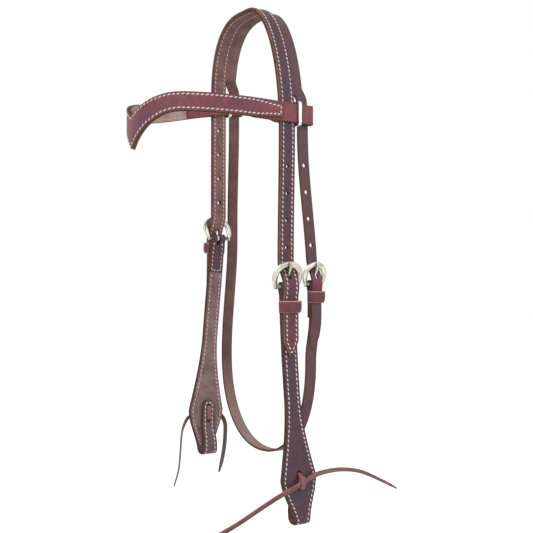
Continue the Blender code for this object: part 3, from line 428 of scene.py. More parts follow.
def shade(color, share):
    return tuple(share * part for part in tint(color))


class Finish(Graph):
    """The nodes of one material, which lie on the object's own coordinates."""

    def __init__(self, name):
        self.material = bpy.data.materials.new(name)
        super().__init__(self.material)
        self.coords = self.node("ShaderNodeTexCoord", output="Object")

    def noise(self, scale, detail, rough=0.5):
        inputs = {"Vector": self.coords, "Scale": scale, "Detail": detail, "Roughness": rough}
        return self.node("ShaderNodeTexNoise", inputs)

    def share(self, value, none, full):
        """How far a value has come from one that counts for nothing to one that counts in full."""
        inputs = {"Value": value, "From Min": none, "From Max": full}
        return self.node("ShaderNodeMapRange", inputs)

    def place(self, axis):
        return self.node("ShaderNodeSeparateXYZ", {"Vector": self.coords}, output=axis)

    def blend(self, share, first, second):
        """A colour between two colours."""
        inputs = {0: share, 6: first, 7: second}
        return self.node("ShaderNodeMix", inputs, output=2, data_type="RGBA")

    def bump(self, strength, height, distance=0.0003):
        inputs = {"Strength": strength, "Distance": distance, "Height": height}
        return self.node("ShaderNodeBump", inputs)


STRETCH_FADE = 0.006


def leather(name, tone, patch, edge_wear_and_highlight, rough=0.5, kept=()):
    """Oiled hide: a patchy tone, darker or paler towards worn edges, with fine pores.
    On the keepers the pale edge tone is painted highlight along their top edge.

    kept lists stretches by a buckle that take another tone, each as side, low, high and tone. On the
    crown's near throat billet that tone is a painted highlight, where the billet catches light.
    """
    finish = Finish(name)
    broad = finish.noise(34, 4, 0.6) * 0.6 + finish.noise(130, 4, 0.6) * 0.4
    streak = finish.noise(210, 5, 0.6) * 0.6 + finish.noise(760, 3, 0.6) * 0.4
    pores = finish.node("ShaderNodeTexVoronoi", {"Vector": finish.coords, "Scale": 1500})
    near_edge = finish.node("ShaderNodeAttribute", output="Fac", attribute_name="edge")
    patches = finish.share(broad, 0.4, 0.6)
    color = finish.blend(patches, tint(tone), tint(patch))
    # Each stretch is blended to its own tone; on the crown's throat billet this is a painted highlight.
    for side, low, high, stretch_tone in kept:
        height = finish.place("Z")
        beside = finish.place("X") * side
        above = finish.share(height, low, low + STRETCH_FADE)
        below = finish.share(height, high, high - STRETCH_FADE)
        share = above * below * beside.math("GREATER_THAN", beside, 0)
        color = finish.blend(share * (patches * 0.3 + 0.65), color, tint(stretch_tone))
    color = finish.blend(finish.share(streak, 0.38, 0.64) * 0.55, color, shade(tone, 0.5))
    # The edge tone: wear on most straps, and a painted highlight along the keepers' top edge.
    color = finish.blend(near_edge * (streak + 0.15), color, tint(edge_wear_and_highlight))
    bump = finish.bump(0.55, pores * 0.5 + streak * 0.8)
    finish.feed(Base_Color=color, Roughness=streak * 0.24 + (rough - 0.12), Normal=bump)
    finish.feed(Specular_IOR_Level=0.24)
    return finish.material


def fibres(name, tone, patch, painted_light_below=None):
    """A cut edge or the flesh side: matt, with short fibres.

    The last argument paints light: the colour pales downwards, lit below with the upper part in shade,
    given as where that starts, where it is full, and the tone there.
    """
    finish = Finish(name)
    broad = finish.noise(60, 5, 0.7)
    fine = finish.noise(1100, 3, 0.7)
    share = finish.share(broad, 0.4, 0.6)
    color = finish.blend(share, tint(tone), tint(patch))
    if painted_light_below:
        # Painted light: a paler tone towards the bottom.
        start, full, pale = painted_light_below
        low = finish.share(finish.place("Z"), start, full)
        color = finish.blend(low * (share * 0.25 + 0.75), color, tint(pale))
    color = finish.blend(fine * 0.5, color, shade(tone, 0.5))
    finish.feed(Base_Color=color, Roughness=0.85, Normal=finish.bump(0.5, fine))
    finish.feed(Specular_IOR_Level=0.06)
    return finish.material


LACE_LEATHER = (
    leather("lace_leather", (160, 116, 120), (140, 92, 90), (122, 84, 82), rough=0.55),
    fibres("lace_edge", (166, 128, 127), (142, 98, 97)),
    fibres("lace_back", (146, 106, 104), (126, 88, 88)),
)
DRY_LACE = (
    leather("dry_lace", (130, 114, 108), (112, 96, 90), (104, 88, 82), rough=0.6),
    fibres("dry_lace_edge", (140, 124, 116), (118, 100, 92)),
    fibres("dry_lace_back", (124, 106, 100), (104, 88, 82)),
)

for name, knots in TAILS.items():
    route = Route(smooth_line(knots, 8), ALONG_Z if "near" in name else ALONG_Y)
    taper, turn_start, turn_end = TAIL_LAY[name]

    def lace_outline(distance):
        left, share = route.length - distance, distance / route.length
        slim = mix(LACE_TIP_SHARE, 1, min(1, left / LACE_TIP) ** 0.7) * mix(1, taper, share)
        wide, thick = LACE_WIDE * slim / 2, LACE_THICK * mix(LACE_TIP_THIN, 1, slim) / 2
        turn = math.radians(mix(turn_start, turn_end, ease(share / LACE_TURNED_BY)))
        cos, sin = math.cos(turn), math.sin(turn)
        outline = section(-wide, wide, -thick, thick)
        return [(a * cos - o * sin, a * sin + o * cos, kind, near) for a, o, kind, near in outline]

    look = LACE_LEATHER if "near" in name else DRY_LACE
    stations = route.stations(0, route.length, LACE_STEP)
    tail = strap_piece(name + "_lace", look, route, stations, lace_outline)
    place_piece(tail, "headstall", name)
    [route.place(route.length * i / 30) for i in range(31)]


# Crown, base layer: one length of hide over the poll, slit at each side into a cheek billet and a throat
# strap. The far throat strap runs on under the jaw as the throatlatch, and turns back round the throat
# buckle's bar. Each billet has punched holes and a long hole for its buckle's prong.
LAYER = 0.0020
OVERLAY = 0.0018
CHEEK_LAYER = 0.0019
GAP = 0.0003
STRAP = 0.0152
THROAT_STRAP = 0.0112
TIP_WIDE = 0.003
TIP_LONG = 0.013
BASE_GROOVE = 0.0028
REST_HALF = 0.007
STRAP_FORE = -0.0015
CHEEK_INNER = 0.0597
CHEEK_LENGTH = 0.212
SPLIT_SPREAD = 0.0044
SPLIT_REACH = 0.012
SPLIT_CLEAR = 0.0015
BROW_Z = -0.0985
BROW_HALF = 0.0085
RING_WIRE = 0.0012
RING_SPACE = 0.0006
BELOW_RINGS = 0.006
BEND_ABOVE = 0.0225
BEND_BELOW = 0.012
LOOP_TAPER = 0.009
BAR_PLAY = 0.00035
KEEPER_HIGH = 0.0106
CHEEK_TAIL = 0.061
THROAT_TAIL = 0.059
HOLE_PITCH = 0.024
HOLE_RADIUS = 0.0019
HOLES_ABOVE = 4
PUNCH_REACH = 0.009
TONGUE_RISE = 0.012
PRONG_RADIUS = 0.0013
PRONG_LEAN = 1.6
PRONG_ROOM = 0.0018
PRONG_SWING = math.radians(14)
NOTCH_DROP = 0.75
# The prong's way from its bar to its tip: shares of its frame's rise and of its rest above the frame.
PRONG_BEND = ((0.09, 0), (0.35, 0.1), (0.55, 0.32), (0.75, 0.78), (0.9, 1.04), (1.0, 1.02), (1.14, 0.78))
NEAR, FAR = 1, -1
SIDES = (("near", NEAR), ("far", FAR))
BROW_RISE = {NEAR: -0.004, FAR: 0.023}
SPAN = {NEAR: 0.0595, FAR: 0.0575}
DROP = {NEAR: 0.118, FAR: 0.072}
ARCH = {NEAR: 2.0, FAR: 2.5}
SWAY = {NEAR: (0.0167, 1.5), FAR: (-0.0135, 1.2)}
LATCH_HALF = {NEAR: 0.0655, FAR: 0.0690}
LATCH_FORE = 0.0178
LATCH_SKEW = 0.0036
LATCH_CURVE = 2 / 2.2
LATCH_BOTTOM = -0.4105
LATCH_RISE = 0.088
LATCH_TURNBACK = 0.030
THROAT_STRAIGHT = 0.040
FAR_PASS_X = -0.0692
FAR_PASS_FORE = 0.0208


class Buckling:
    """Where one billet, its buckle and the strap that carries the buckle lie.

    Heights are counted from the buckle's bar, and depths outward from the inner face of the
    strap that wraps the bar.
    """

    def __init__(self, side, fore, bar_z, layer, billet, dip, frame, slide, keeper_drop):
        self.side = side
        self.fore = fore
        self.bar_z = bar_z
        self.layer = layer
        self.billet = billet
        self.slide = slide
        self.keeper_drop = keeper_drop
        self.half, self.rise, self.rim_half, self.rim_deep, self.bar_radius = frame
        self.bar_depth = layer + GAP / 2
        self.loop_radius = self.bar_radius + BAR_PLAY + layer / 2
        self.above = -dip
        self.at_bar = self.bar_depth + self.loop_radius + layer / 2 + GAP
        self.below = 2 * (layer + GAP)
        self.rise_inside = self.rise - 2 * self.rim_half - abs(slide) / 2
        self.tilt = 0
        for _ in range(8):
            face = self.inner_depth(self.rise_inside * math.cos(self.tilt)) + self.billet
            self.tilt = math.asin((face + GAP + self.rim_deep - self.bar_depth) / self.rise_inside)

    def inner_depth(self, height):
        """Depth of the billet's inner face."""
        if height >= 0:
            return mix(self.above, self.at_bar, ease(1 - height / BEND_ABOVE))
        return mix(self.at_bar, self.below, ease(-height / BEND_BELOW))

    def point(self, depth, height, aside=0.0):
        return Vector((self.side * (CHEEK_INNER + depth), self.fore + aside, self.bar_z + height))

    def in_frame(self, aside, rise, out):
        """A point by the tilted frame: along its bar, up it and out of its face."""
        up = Vector((self.side * math.sin(self.tilt), 0, math.cos(self.tilt)))
        outward = Vector((self.side * math.cos(self.tilt), 0, -math.sin(self.tilt)))
        return self.point(self.bar_depth, 0, aside) + up * rise + outward * out


# Each frame's half width and rise, its rim's half width and depth, and its bar's radius.
CHEEK_FRAME = (0.0132, 0.0207, 0.0026, 0.0017, 0.0017)
THROAT_FRAME = (0.0106, 0.0186, 0.0023, 0.0016, 0.0015)
billet = LAYER + GAP + OVERLAY
throat_fore = STRAP_FORE + (STRAP + THROAT_STRAP) / 2
spread_fore = throat_fore + SPLIT_SPREAD
cheek_sizes = {
    "fore": STRAP_FORE,
    "layer": CHEEK_LAYER,
    "billet": billet,
    "dip": 0.0022,
    "frame": CHEEK_FRAME,
}
CHEEKS = {
    NEAR: Buckling(NEAR, bar_z=-0.256, slide=-0.0016, keeper_drop=0.018, **cheek_sizes),
    FAR: Buckling(FAR, bar_z=-0.208, slide=0.0020, keeper_drop=0.0098, **cheek_sizes),
}
throat_buckle = Buckling(
    NEAR,
    fore=throat_fore + 0.0158,
    bar_z=-0.254,
    layer=LAYER,
    billet=LAYER,
    dip=0.0012,
    frame=THROAT_FRAME,
    slide=-0.0006,
    keeper_drop=0.0115,
)
ring_reach = BROW_HALF + RING_SPACE + 2 * RING_WIRE
split_z = {
    side: BROW_Z + BROW_RISE[side] + ring_reach + SPLIT_REACH + SPLIT_CLEAR for side in (NEAR, FAR)
}
hang_z = BROW_Z + BROW_RISE[FAR] - ring_reach - BELOW_RINGS
latch_end_z = LATCH_BOTTOM + LATCH_RISE


def cheek_sway(side, height):
    """How far a cheekpiece hangs out of plumb at a height from its bar."""
    share = min(1, max(0, -height / CHEEK_LENGTH))
    reach, power = SWAY[side]
    return reach * (share**power if side == NEAR else math.sin(share * math.pi / 2) ** power)


def cheek_point(buckling, depth, height, aside=0.0):
    return buckling.point(depth, height, aside + cheek_sway(buckling.side, height))


def side_line(side, buckling, tail, samples=40):
    """One side of the crown from the rest's edge down to its billet's tip, as (x, z)."""
    span, drop, power = SPAN[side], DROP[side], 2 / ARCH[side]
    line = []
    for i in range(samples + 1):
        turn = math.pi / 2 * i / samples
        x = mix(REST_HALF, span, math.sin(turn) ** power)
        line.append((x, drop * (math.cos(turn) ** power - 1)))
    top = buckling.bar_z + BEND_ABOVE
    for i in range(1, samples):
        share = i / samples
        x = mix(span, CHEEK_INNER + buckling.above, ease(share))
        line.append((x, mix(-drop, top, share)))
    for i in range(samples):
        height = mix(BEND_ABOVE, -BEND_BELOW, i / samples)
        line.append((CHEEK_INNER + buckling.inner_depth(height), buckling.bar_z + height))
    line.append((CHEEK_INNER + buckling.below, buckling.bar_z - BEND_BELOW))
    line.append((CHEEK_INNER + buckling.below, buckling.bar_z - tail))
    return line


def crown_route():
    """Far billet's tip, over the poll, to the near billet's tip, on the base's underside."""
    points = []
    for side in (FAR, NEAR):
        buckling = CHEEKS[side]
        sewn = -buckling.keeper_drop - KEEPER_HIGH
        for x, z in side_line(side, buckling, CHEEK_TAIL)[::side]:
            sway = cheek_sway(side, max(z - buckling.bar_z, sewn))
            points.append((side * x, STRAP_FORE + sway, z))
    return Route(spread(points), ALONG_Y)


def spread(points, spacing=0.001):
    """The same line with no long step between its points."""
    line = [Vector(points[0])]
    for point in points[1:]:
        start, end = line[-1].copy(), Vector(point)
        count = max(1, round((end - start).length / spacing))
        line += [start.lerp(end, (i + 1) / count) for i in range(count)]
    return line


def latch_half(side, turn):
    """A point of the throatlatch's hanging half round: its lowest point at turn 0."""
    x = side * LATCH_HALF[side] * math.sin(turn) ** LATCH_CURVE
    z = LATCH_BOTTOM + LATCH_RISE * (1 - math.cos(turn) ** LATCH_CURVE)
    return Vector((x, LATCH_FORE + LATCH_SKEW * x / LATCH_HALF[NEAR], z))


def bar_loop(buckling, leg_start, leg_end, samples=36):
    """The middle of a strap that goes up, over the bar and down, from inside to outside."""
    inner, outer = buckling.layer / 2, 3 * buckling.layer / 2 + GAP
    wide_in = buckling.bar_depth - buckling.loop_radius
    wide_out = buckling.bar_depth + buckling.loop_radius
    line = [buckling.point(inner, -leg_start)]
    for i in range(samples // 2 + 1):
        share = 2 * i / samples
        line.append(buckling.point(mix(inner, wide_in, ease(share)), -LOOP_TAPER * (1 - share)))
    for i in range(1, samples):
        turn = math.pi * i / samples
        depth = buckling.bar_depth - buckling.loop_radius * math.cos(turn)
        line.append(buckling.point(depth, buckling.loop_radius * math.sin(turn)))
    for i in range(samples // 2 + 1):
        share = 2 * i / samples
        line.append(buckling.point(mix(wide_out, outer, ease(share)), -LOOP_TAPER * share))
    line.append(buckling.point(outer, -leg_end))
    return line


def near_throat_fore(z):
    """How far back the throat strap's middle lies on the near side."""
    buckle = throat_buckle
    if z < buckle.bar_z:
        turnback_z = buckle.bar_z - LATCH_TURNBACK
        share = ease((turnback_z - z) / (turnback_z - latch_end_z))
        return mix(buckle.fore, latch_half(NEAR, math.pi / 2).y, share)
    start = split_z[NEAR] - THROAT_STRAIGHT
    apart = ease((split_z[NEAR] - z) / SPLIT_REACH) * SPLIT_SPREAD
    share = ease((start - z) / (start - buckle.bar_z))
    return throat_fore + apart + (buckle.fore - spread_fore) * share


def far_throat_place(z):
    """The far throat strap's middle, as (x, y): it passes outside the far buckle."""
    start_x = -SPAN[FAR] - LAYER / 2
    bar_z = CHEEKS[FAR].bar_z
    if z >= hang_z:
        return start_x, throat_fore + ease((split_z[FAR] - z) / SPLIT_REACH) * SPLIT_SPREAD
    if z >= bar_z:
        share = ease((hang_z - z) / (hang_z - bar_z - CHEEKS[FAR].rise))
        return mix(start_x, FAR_PASS_X, share), mix(spread_fore, FAR_PASS_FORE, share)
    share = ease((bar_z - z) / (bar_z - latch_end_z))
    end = latch_half(FAR, math.pi / 2)
    return mix(FAR_PASS_X, end.x, share), mix(FAR_PASS_FORE, end.y, share)


def throat_route(samples=60):
    """The middle of the latch: its turnback, round the bar, under, up the far side and over."""
    points = bar_loop(throat_buckle, LATCH_TURNBACK, LATCH_TURNBACK)
    start, hang = points[-1], latch_half(NEAR, math.pi / 2)
    for i in range(1, samples // 2):
        share = 2 * i / samples
        turned = start.lerp(hang, ease(share))
        points.append(Vector((turned.x, turned.y, mix(start.z, hang.z, share))))
    points += [latch_half(NEAR, math.pi / 2 * (1 - i / samples)) for i in range(samples + 1)]
    points += [latch_half(FAR, math.pi / 2 * i / samples) for i in range(1, samples + 1)]
    start = points[-1]
    for i in range(1, 2 * samples):
        z = mix(start.z, -DROP[FAR], i / (2 * samples))
        points.append(Vector((*far_throat_place(z), z)))
    over = side_line(FAR, CHEEKS[FAR], CHEEK_TAIL)
    poll = Route([(-x, 0, z) for x, z in reversed(over)], ALONG_Y)
    first = poll.where(lambda p: p.z >= -DROP[FAR])
    for i in range(samples + 1):
        d = mix(first, poll.length, i / samples)
        here, _ = poll.on(d, 0, LAYER / 2)
        points.append(here + ALONG_Y * far_throat_place(here.z)[1])
    down = Route([(x, 0, z) for x, z in side_line(NEAR, throat_buckle, THROAT_TAIL)], ALONG_Y)
    for i in range(4 * samples + 1):
        here, _ = down.on(down.length * i / (4 * samples), 0, LAYER / 2)
        points.append(here + ALONG_Y * near_throat_fore(here.z))
    return Route(spread(points), ALONG_Y)


def strap_half(width, left):
    """Half a billet's width, with so much left to its pointed tip."""
    return mix(TIP_WIDE, width, min(1, max(0, left) / TIP_LONG)) / 2


def prong_lean(buckling, rise):
    """How far along the bar the prong leans, towards the side that its frame hangs to."""
    return PRONG_LEAN * buckling.slide * rise / buckling.rise


def prong_line(buckling):
    """The prong's middle beside its frame, as (rise, out), from the bar to its tip."""
    rest = buckling.rim_deep + GAP + PRONG_RADIUS
    return smooth_line([(r * buckling.rise, o * rest, 0) for r, o in PRONG_BEND], 4)


def box_cut(mesh, corners):
    """A closed prism between two outlines of the same count of points."""
    sides = [[mesh.verts.new(p) for p in outline] for outline in corners]
    mesh.faces.new(sides[0])
    mesh.faces.new(list(reversed(sides[1])))
    count = len(sides[0])
    for i in range(count):
        j = (i + 1) % count
        mesh.faces.new((sides[0][i], sides[0][j], sides[1][j], sides[1][i]))


def prong_cut(mesh, buckling):
    """The long hole that the prong turns in."""
    cos, sin = math.cos(PRONG_SWING), math.sin(PRONG_SWING)
    line = [p for p in prong_line(buckling) if p.x < buckling.rise_inside]
    outline = [(p.x, p.y - PRONG_ROOM) for p in line]
    for p in reversed(line):
        rise, out = p.x, p.y + PRONG_ROOM
        outline.append((rise * cos - out * sin, rise * sin + out * cos))
    corners = []
    for aside in (-PRONG_ROOM, PRONG_ROOM):
        corners.append(
            [buckling.in_frame(aside + prong_lean(buckling, r), r, o) for r, o in outline]
        )
    box_cut(mesh, corners)


def notch_cut(mesh, buckling):
    """The notch in the loop over the bar, where the prong's root turns."""
    size = buckling.loop_radius + buckling.layer
    flat = [(d * size, a * PRONG_ROOM) for d, a in ((-1, -1), (1, -1), (1, 1), (-1, 1))]
    heights = (-NOTCH_DROP * LOOP_TAPER, size + BAR_PLAY)
    depth = buckling.bar_depth
    box_cut(mesh, [[buckling.point(depth + d, h, a) for d, a in flat] for h in heights])


def round_cut(mesh, middle, reach, radius, sides=28):
    """A punched round hole."""
    turn = reach.to_track_quat("Z", "Y").to_matrix().to_4x4()
    bmesh.ops.create_cone(
        mesh,
        cap_ends=True,
        segments=sides,
        radius1=radius,
        radius2=radius,
        depth=2 * reach.length,
        matrix=Matrix.Translation(middle) @ turn,
    )


def billet_cut(mesh, route, buckling, over):
    """All that is cut through one billet: the holes above the prong, and the prong's own."""
    hole_z = buckling.bar_z + TONGUE_RISE
    if buckling.side == NEAR:
        used = route.where(lambda p: p.z <= hole_z, over)
    else:
        used = route.where(lambda p: p.z >= hole_z)
    for i in range(1, HOLES_ABOVE + 1):
        middle, out = route.on(used - buckling.side * i * HOLE_PITCH, 0, 0)
        round_cut(mesh, middle, out * PUNCH_REACH, HOLE_RADIUS)
    prong_cut(mesh, buckling)


CUT_SLIVER = 2e-6


def neaten(shaped):
    """Takes out the doubled points and stray faces that a Boolean leaves, and splits wide faces."""
    mesh = bmesh.new()
    mesh.from_mesh(shaped)
    bmesh.ops.remove_doubles(mesh, verts=mesh.verts, dist=CUT_SLIVER)
    bmesh.ops.dissolve_degenerate(mesh, edges=mesh.edges, dist=CUT_SLIVER)
    loose = [f for f in mesh.faces if all(len(edge.link_faces) == 1 for edge in f.edges)]
    bmesh.ops.delete(mesh, geom=loose, context="FACES")
    wide = [f for f in mesh.faces if len(f.verts) > 4]
    bmesh.ops.triangulate(mesh, faces=wide, ngon_method="BEAUTY")
    bmesh.ops.dissolve_degenerate(mesh, edges=mesh.edges, dist=CUT_SLIVER)
    mesh.to_mesh(shaped)
    mesh.free()


def cut(item, mesh):
    """Cuts the mesh's solids out of the piece. The walls of a cut show the hide's edge."""
    for face in mesh.faces:
        face.material_index = EDGE
    tool = made(mesh, "cutter", item.data.materials)
    change = item.modifiers.new("cut", "BOOLEAN")
    change.object = tool
    change.operation = "DIFFERENCE"
    change.solver = "EXACT"
    shaped = bpy.data.meshes.new_from_object(
        item.evaluated_get(bpy.context.evaluated_depsgraph_get())
    )
    item.modifiers.clear()
    neaten(shaped)
    item.data = shaped
    bpy.data.objects.remove(tool, do_unlink=True)


HIGH_WALL = 2 * ROUND_STEPS + FACE_STEPS
LATCH_FLESH = 3
crown_line = crown_route()
throat_line = throat_route()
over_poll = crown_line.where(lambda p: p.x >= REST_HALF)
splits = {
    FAR: crown_line.where(lambda p: p.z >= split_z[FAR]),
    NEAR: crown_line.where(lambda p: p.z <= split_z[NEAR], over_poll),
}
crown_stations = crown_line.stations(0, crown_line.length, keep=tuple(splits.values()))


def on_poll(distance):
    return splits[FAR] <= distance <= splits[NEAR]


def crown_half(distance):
    return strap_half(STRAP, min(distance, crown_line.length - distance))


def cheek_outline(distance):
    half = crown_half(distance)
    soft = 0 if on_poll(distance) else 1
    return section(-half, half, 0, LAYER, soft_high=soft, groove=BASE_GROOVE)


def poll_outline(distance):
    return section(STRAP / 2, STRAP / 2 + THROAT_STRAP, 0, LAYER, soft_low=0)


def latch_outline(distance):
    half = strap_half(THROAT_STRAP, throat_line.length - distance)
    points = section(-half, half, -LAYER / 2, LAYER / 2)
    return [(a, o, LATCH_FLESH if k == FLESH else k, near) for a, o, k, near in points]


crown_loft = Loft()
rings = [crown_loft.ring(crown_line, d, cheek_outline(d)) for d in crown_stations]
poll = [crown_loft.ring(crown_line, d, poll_outline(d)) for d in crown_stations if on_poll(d)]
for first, second, d, after in zip(rings, rings[1:], crown_stations, crown_stations[1:]):
    crown_loft.join(first, second, (HIGH_WALL,) if on_poll(d) and on_poll(after) else ())
for first, second in zip(poll, poll[1:]):
    crown_loft.join(first, second, (len(first) - 1,))
crown_loft.cap(rings[0])
crown_loft.cap(rings[-1])
over_bar = throat_line.where(lambda p: p.z >= -LAYER)
latch_end = throat_line.where(lambda p: p.x < 0 and p.z >= split_z[FAR]) - SPLIT_REACH / 4
billet_start = throat_line.where(lambda p: p.z <= split_z[NEAR], over_bar) + SPLIT_REACH / 4
latch_stations = throat_line.stations(0, latch_end)
billet_stations = throat_line.stations(billet_start, throat_line.length)
latch = crown_loft.run(throat_line, latch_stations, latch_outline, (True, False))
crown_loft.join(latch[-1], poll[0])
tongue = crown_loft.run(throat_line, billet_stations, latch_outline, (False, True))
crown_loft.join(poll[-1], tongue[0])


def hide(name, grain, edge, flesh, **finish):
    """A strap's three looks: the grain side, the cut edge and the flesh side."""
    return (
        leather(name + "_grain", *grain, **finish),
        fibres(name + "_edge", *edge),
        fibres(name + "_flesh", *flesh),
    )


CROWN_HIDE = (
    *hide(
        "crown",
        ((100, 76, 84), (112, 72, 74), (84, 62, 62)),
        ((112, 82, 70), (88, 66, 62)),
        ((152, 120, 116), (128, 96, 96)),
        # Painted highlight: the near throat billet's stretch by its buckle is painted a lighter, pinker
        # tone where it catches light.
        kept=[(NEAR, throat_buckle.bar_z - 0.012, throat_buckle.bar_z + 0.016, (142, 66, 86))],
    ),
    # Painted light: the latch's flesh side pales downwards, and its upper part is left darker as in shade.
    fibres("latch_flesh", (130, 98, 96), (108, 82, 82), painted_light_below=(-0.325, -0.405, (182, 156, 154))),
)
crown = crown_loft.item("crown_base", CROWN_HIDE, weld=True)
punch = bmesh.new()
for buckling in CHEEKS.values():
    billet_cut(punch, crown_line, buckling, over_poll)
billet_cut(punch, throat_line, throat_buckle, over_bar)
cut(crown, punch)
punch = bmesh.new()
notch_cut(punch, throat_buckle)
cut(crown, punch)
place_piece(crown, "headstall", "crown")


# Crown overlay: a second strip of hide, sewn on the front part of the crown and its two cheek billets.
# Its two rows of waxed thread go through both layers and meet in a point at each billet's tip.
OVERLAY_LIFT = LAYER + GAP
ROW_INSET = 0.0027
THREAD_PITCH = 0.0041
THREAD_LONG = 0.0029
THREAD_WIDE = 0.00112
THREAD_SLANT = 0.28
THREAD_LIFT = 0.00027
THREAD_SUNK = 0.00014
THREAD_SIDES = 8
BACK_FULLNESS = 0.9
TIP_INSET = 0.0035


def overlay_outline(distance):
    half = crown_half(distance)
    return section(-half, half, OVERLAY_LIFT, OVERLAY_LIFT + OVERLAY, groove=ROW_INSET)


def edge_row(route, start, end, half_at, outward, sign=1, step=0.0005):
    """Both edges of a strap in one line of stitches, round its end and back, as (point, normal)."""
    row = []
    count = max(2, round((end - start) / step))
    for side in (1, -1):
        for i in range(count + 1):
            d = mix(start, end, i / count if side > 0 else 1 - i / count)
            point, out = route.on(d, side * max(half_at(d) - ROW_INSET, 0), outward)
            row.append((point, out * sign))
    return row


def skin(mesh, rings, closed=False):
    """Faces from ring to ring, with both ends capped unless the last ring joins the first."""
    pairs = list(zip(rings, rings[1:])) + ([(rings[-1], rings[0])] if closed else [])
    for first, second in pairs:
        count = len(first)
        for k in range(count):
            j = (k + 1) % count
            mesh.faces.new((first[k], first[j], second[j], second[k])).smooth = True
    if not closed:
        mesh.faces.new(rings[0])
        mesh.faces.new(list(reversed(rings[-1])))


def sew(name, body, rows, thread, fullness=1.0):
    """Rows of stitches, each a short slanted length of thread that dips in at both ends."""
    mesh = bmesh.new()
    for row in rows:
        line = Route([p for p, _ in row], ALONG_Z)
        count = max(1, round(line.length / THREAD_PITCH))
        nearest = 0
        for i in range(count):
            d = (i + 0.5) * line.length / count
            while nearest < len(row) - 1 and line.along[nearest] < d:
                nearest += 1
            normal = row[nearest][1]
            ahead = (line.place(d + 0.001) - line.place(d - 0.001)).normalized()
            aside = normal.cross(ahead).normalized()
            run = (ahead + aside * THREAD_SLANT).normalized()
            aside = normal.cross(run)
            middle = line.place(d)
            rings = []
            for waist in (-1, -0.86, -0.5, 0, 0.5, 0.86, 1):
                slim = math.sqrt(max(0, 1 - waist**4)) * 0.9 + 0.1
                lift = THREAD_LIFT * (1 - waist * waist) - THREAD_SUNK
                here = middle + run * waist * THREAD_LONG / 2 + normal * lift
                ring = []
                for k in range(THREAD_SIDES):
                    turn = math.tau * k / THREAD_SIDES
                    wide = aside * THREAD_WIDE * fullness / 2 * slim * math.cos(turn)
                    deep = normal * THREAD_WIDE * fullness / 3.5 * slim * math.sin(turn)
                    ring.append(mesh.verts.new(here + wide + deep))
                rings.append(ring)
            skin(mesh, rings)
    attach(made(mesh, name, [thread]), body)


def waxed_thread(name, tone, soiled):
    finish = Finish(name)
    soil = finish.noise(160, 3)
    plies = finish.noise(2400, 2)
    color = finish.blend(finish.share(soil, 0.4, 0.7), tint(tone), tint(soiled))
    finish.feed(Base_Color=color, Roughness=0.6, Normal=finish.bump(0.5, plies, 0.0002))
    return finish.material


FACE_THREAD = waxed_thread("waxed_thread", (240, 224, 222), (220, 196, 196))
BACK_THREAD = waxed_thread("soiled_thread", (226, 206, 202), (190, 160, 158))
OVERLAY_HIDE = hide(
    "overlay",
    ((82, 65, 81), (106, 63, 66), (78, 58, 62)),
    ((150, 114, 98), (118, 86, 78)),
    ((104, 78, 76), (90, 66, 66)),
    kept=[(b.side, b.bar_z - 0.064, b.bar_z + 0.014, (122, 66, 76)) for b in CHEEKS.values()],
)
overlay = strap_piece(
    "crown_top", OVERLAY_HIDE, crown_line, crown_stations, overlay_outline, weld=True
)
punch = bmesh.new()
for buckling in CHEEKS.values():
    billet_cut(punch, crown_line, buckling, over_poll)
cut(overlay, punch)
place_piece(overlay, "headstall", "crown_overlay")

tips = (TIP_INSET, crown_line.length - TIP_INSET)
face_row = edge_row(crown_line, *tips, crown_half, OVERLAY_LIFT + OVERLAY)
sew("crown_stitching", "headstall", [face_row], FACE_THREAD)
back_row = edge_row(crown_line, *tips, crown_half, 0, sign=-1)
sew("crown_stitching_inside", "headstall", [back_row], BACK_THREAD, BACK_FULLNESS)


# Cheekpieces: two sewn layers each. The outer one goes round the buckle's bar and turns back inside, above
# the lining. Both fold up inside at the bit end, where the folded end is laced on through two holes.
ALONG_X = Vector((1, 0, 0))
TURNBACK = 0.034
PADDLE = 0.0365
PADDLE_RISE = 0.043
PADDLE_FLARE = 0.072
BIT_END = 0.0150
BIT_GAP = 0.0054
BIT_FLAT = 0.0024
FOLD_STRAIGHT = 0.004
FOLD_CLOSE = 0.022
LACED_END = 0.052
LACED_WIDE = 0.0132
LACED_ROUND = 0.8
PADDLE_SWELL = 0.4
LACE_HOLES = (0.0335, 0.0465)
LACE_HOLE_RADIUS = 0.0023
BIT_SEAT_RISE = 0.008
LINING_GAP = 0.00005
STATION_STEP = 0.0018
RUBBED = 3
RUBBED_PAST = 0.002
FACE_ROW_DROP = 0.010
FACE_ROW_PAST = 0.006
FACE_ROW_LEFT = 0.0022
BACK_ROW_LEFT = 0.002
BACK_ROW_SHORT = 0.004
TACK_DROP = 0.0285
TACKS_ASIDE = (0.0026, 0.0036, 0.0046, 0.0056)


def fold_line(buckling, offset, start, samples=40):
    """The middle of a layer from a height below the bar, down, round the fold and up inside."""
    layer = buckling.layer
    radius = (BIT_GAP + layer - BIT_FLAT) / 2
    corner = layer / 2 - radius
    centre = -CHEEK_LENGTH + radius + 3 * layer / 2 + GAP
    reach = radius + offset
    line = []
    for i in range(2 * samples):
        height = mix(start, centre, i / (2 * samples))
        line.append(cheek_point(buckling, layer / 2 + offset, height))
    for middle, quarter in ((corner, 0), (corner - BIT_FLAT, 1)):
        for i in range(samples // 2 + 1):
            turn = math.pi / 2 * (2 * i / samples + quarter)
            depth, drop = reach * math.cos(turn), reach * math.sin(turn)
            line.append(cheek_point(buckling, middle + depth, centre - drop))
    away = corner - BIT_FLAT - reach
    laid = -GAP - layer / 2 - offset
    low = centre + FOLD_STRAIGHT
    for i in range(samples + 1):
        depth = mix(away, laid, ease(i / samples))
        line.append(cheek_point(buckling, depth, mix(low, low + FOLD_CLOSE, i / samples)))
    for i in range(1, samples + 1):
        height = mix(low + FOLD_CLOSE, LACED_END - CHEEK_LENGTH, i / samples)
        line.append(cheek_point(buckling, laid, height))
    return line


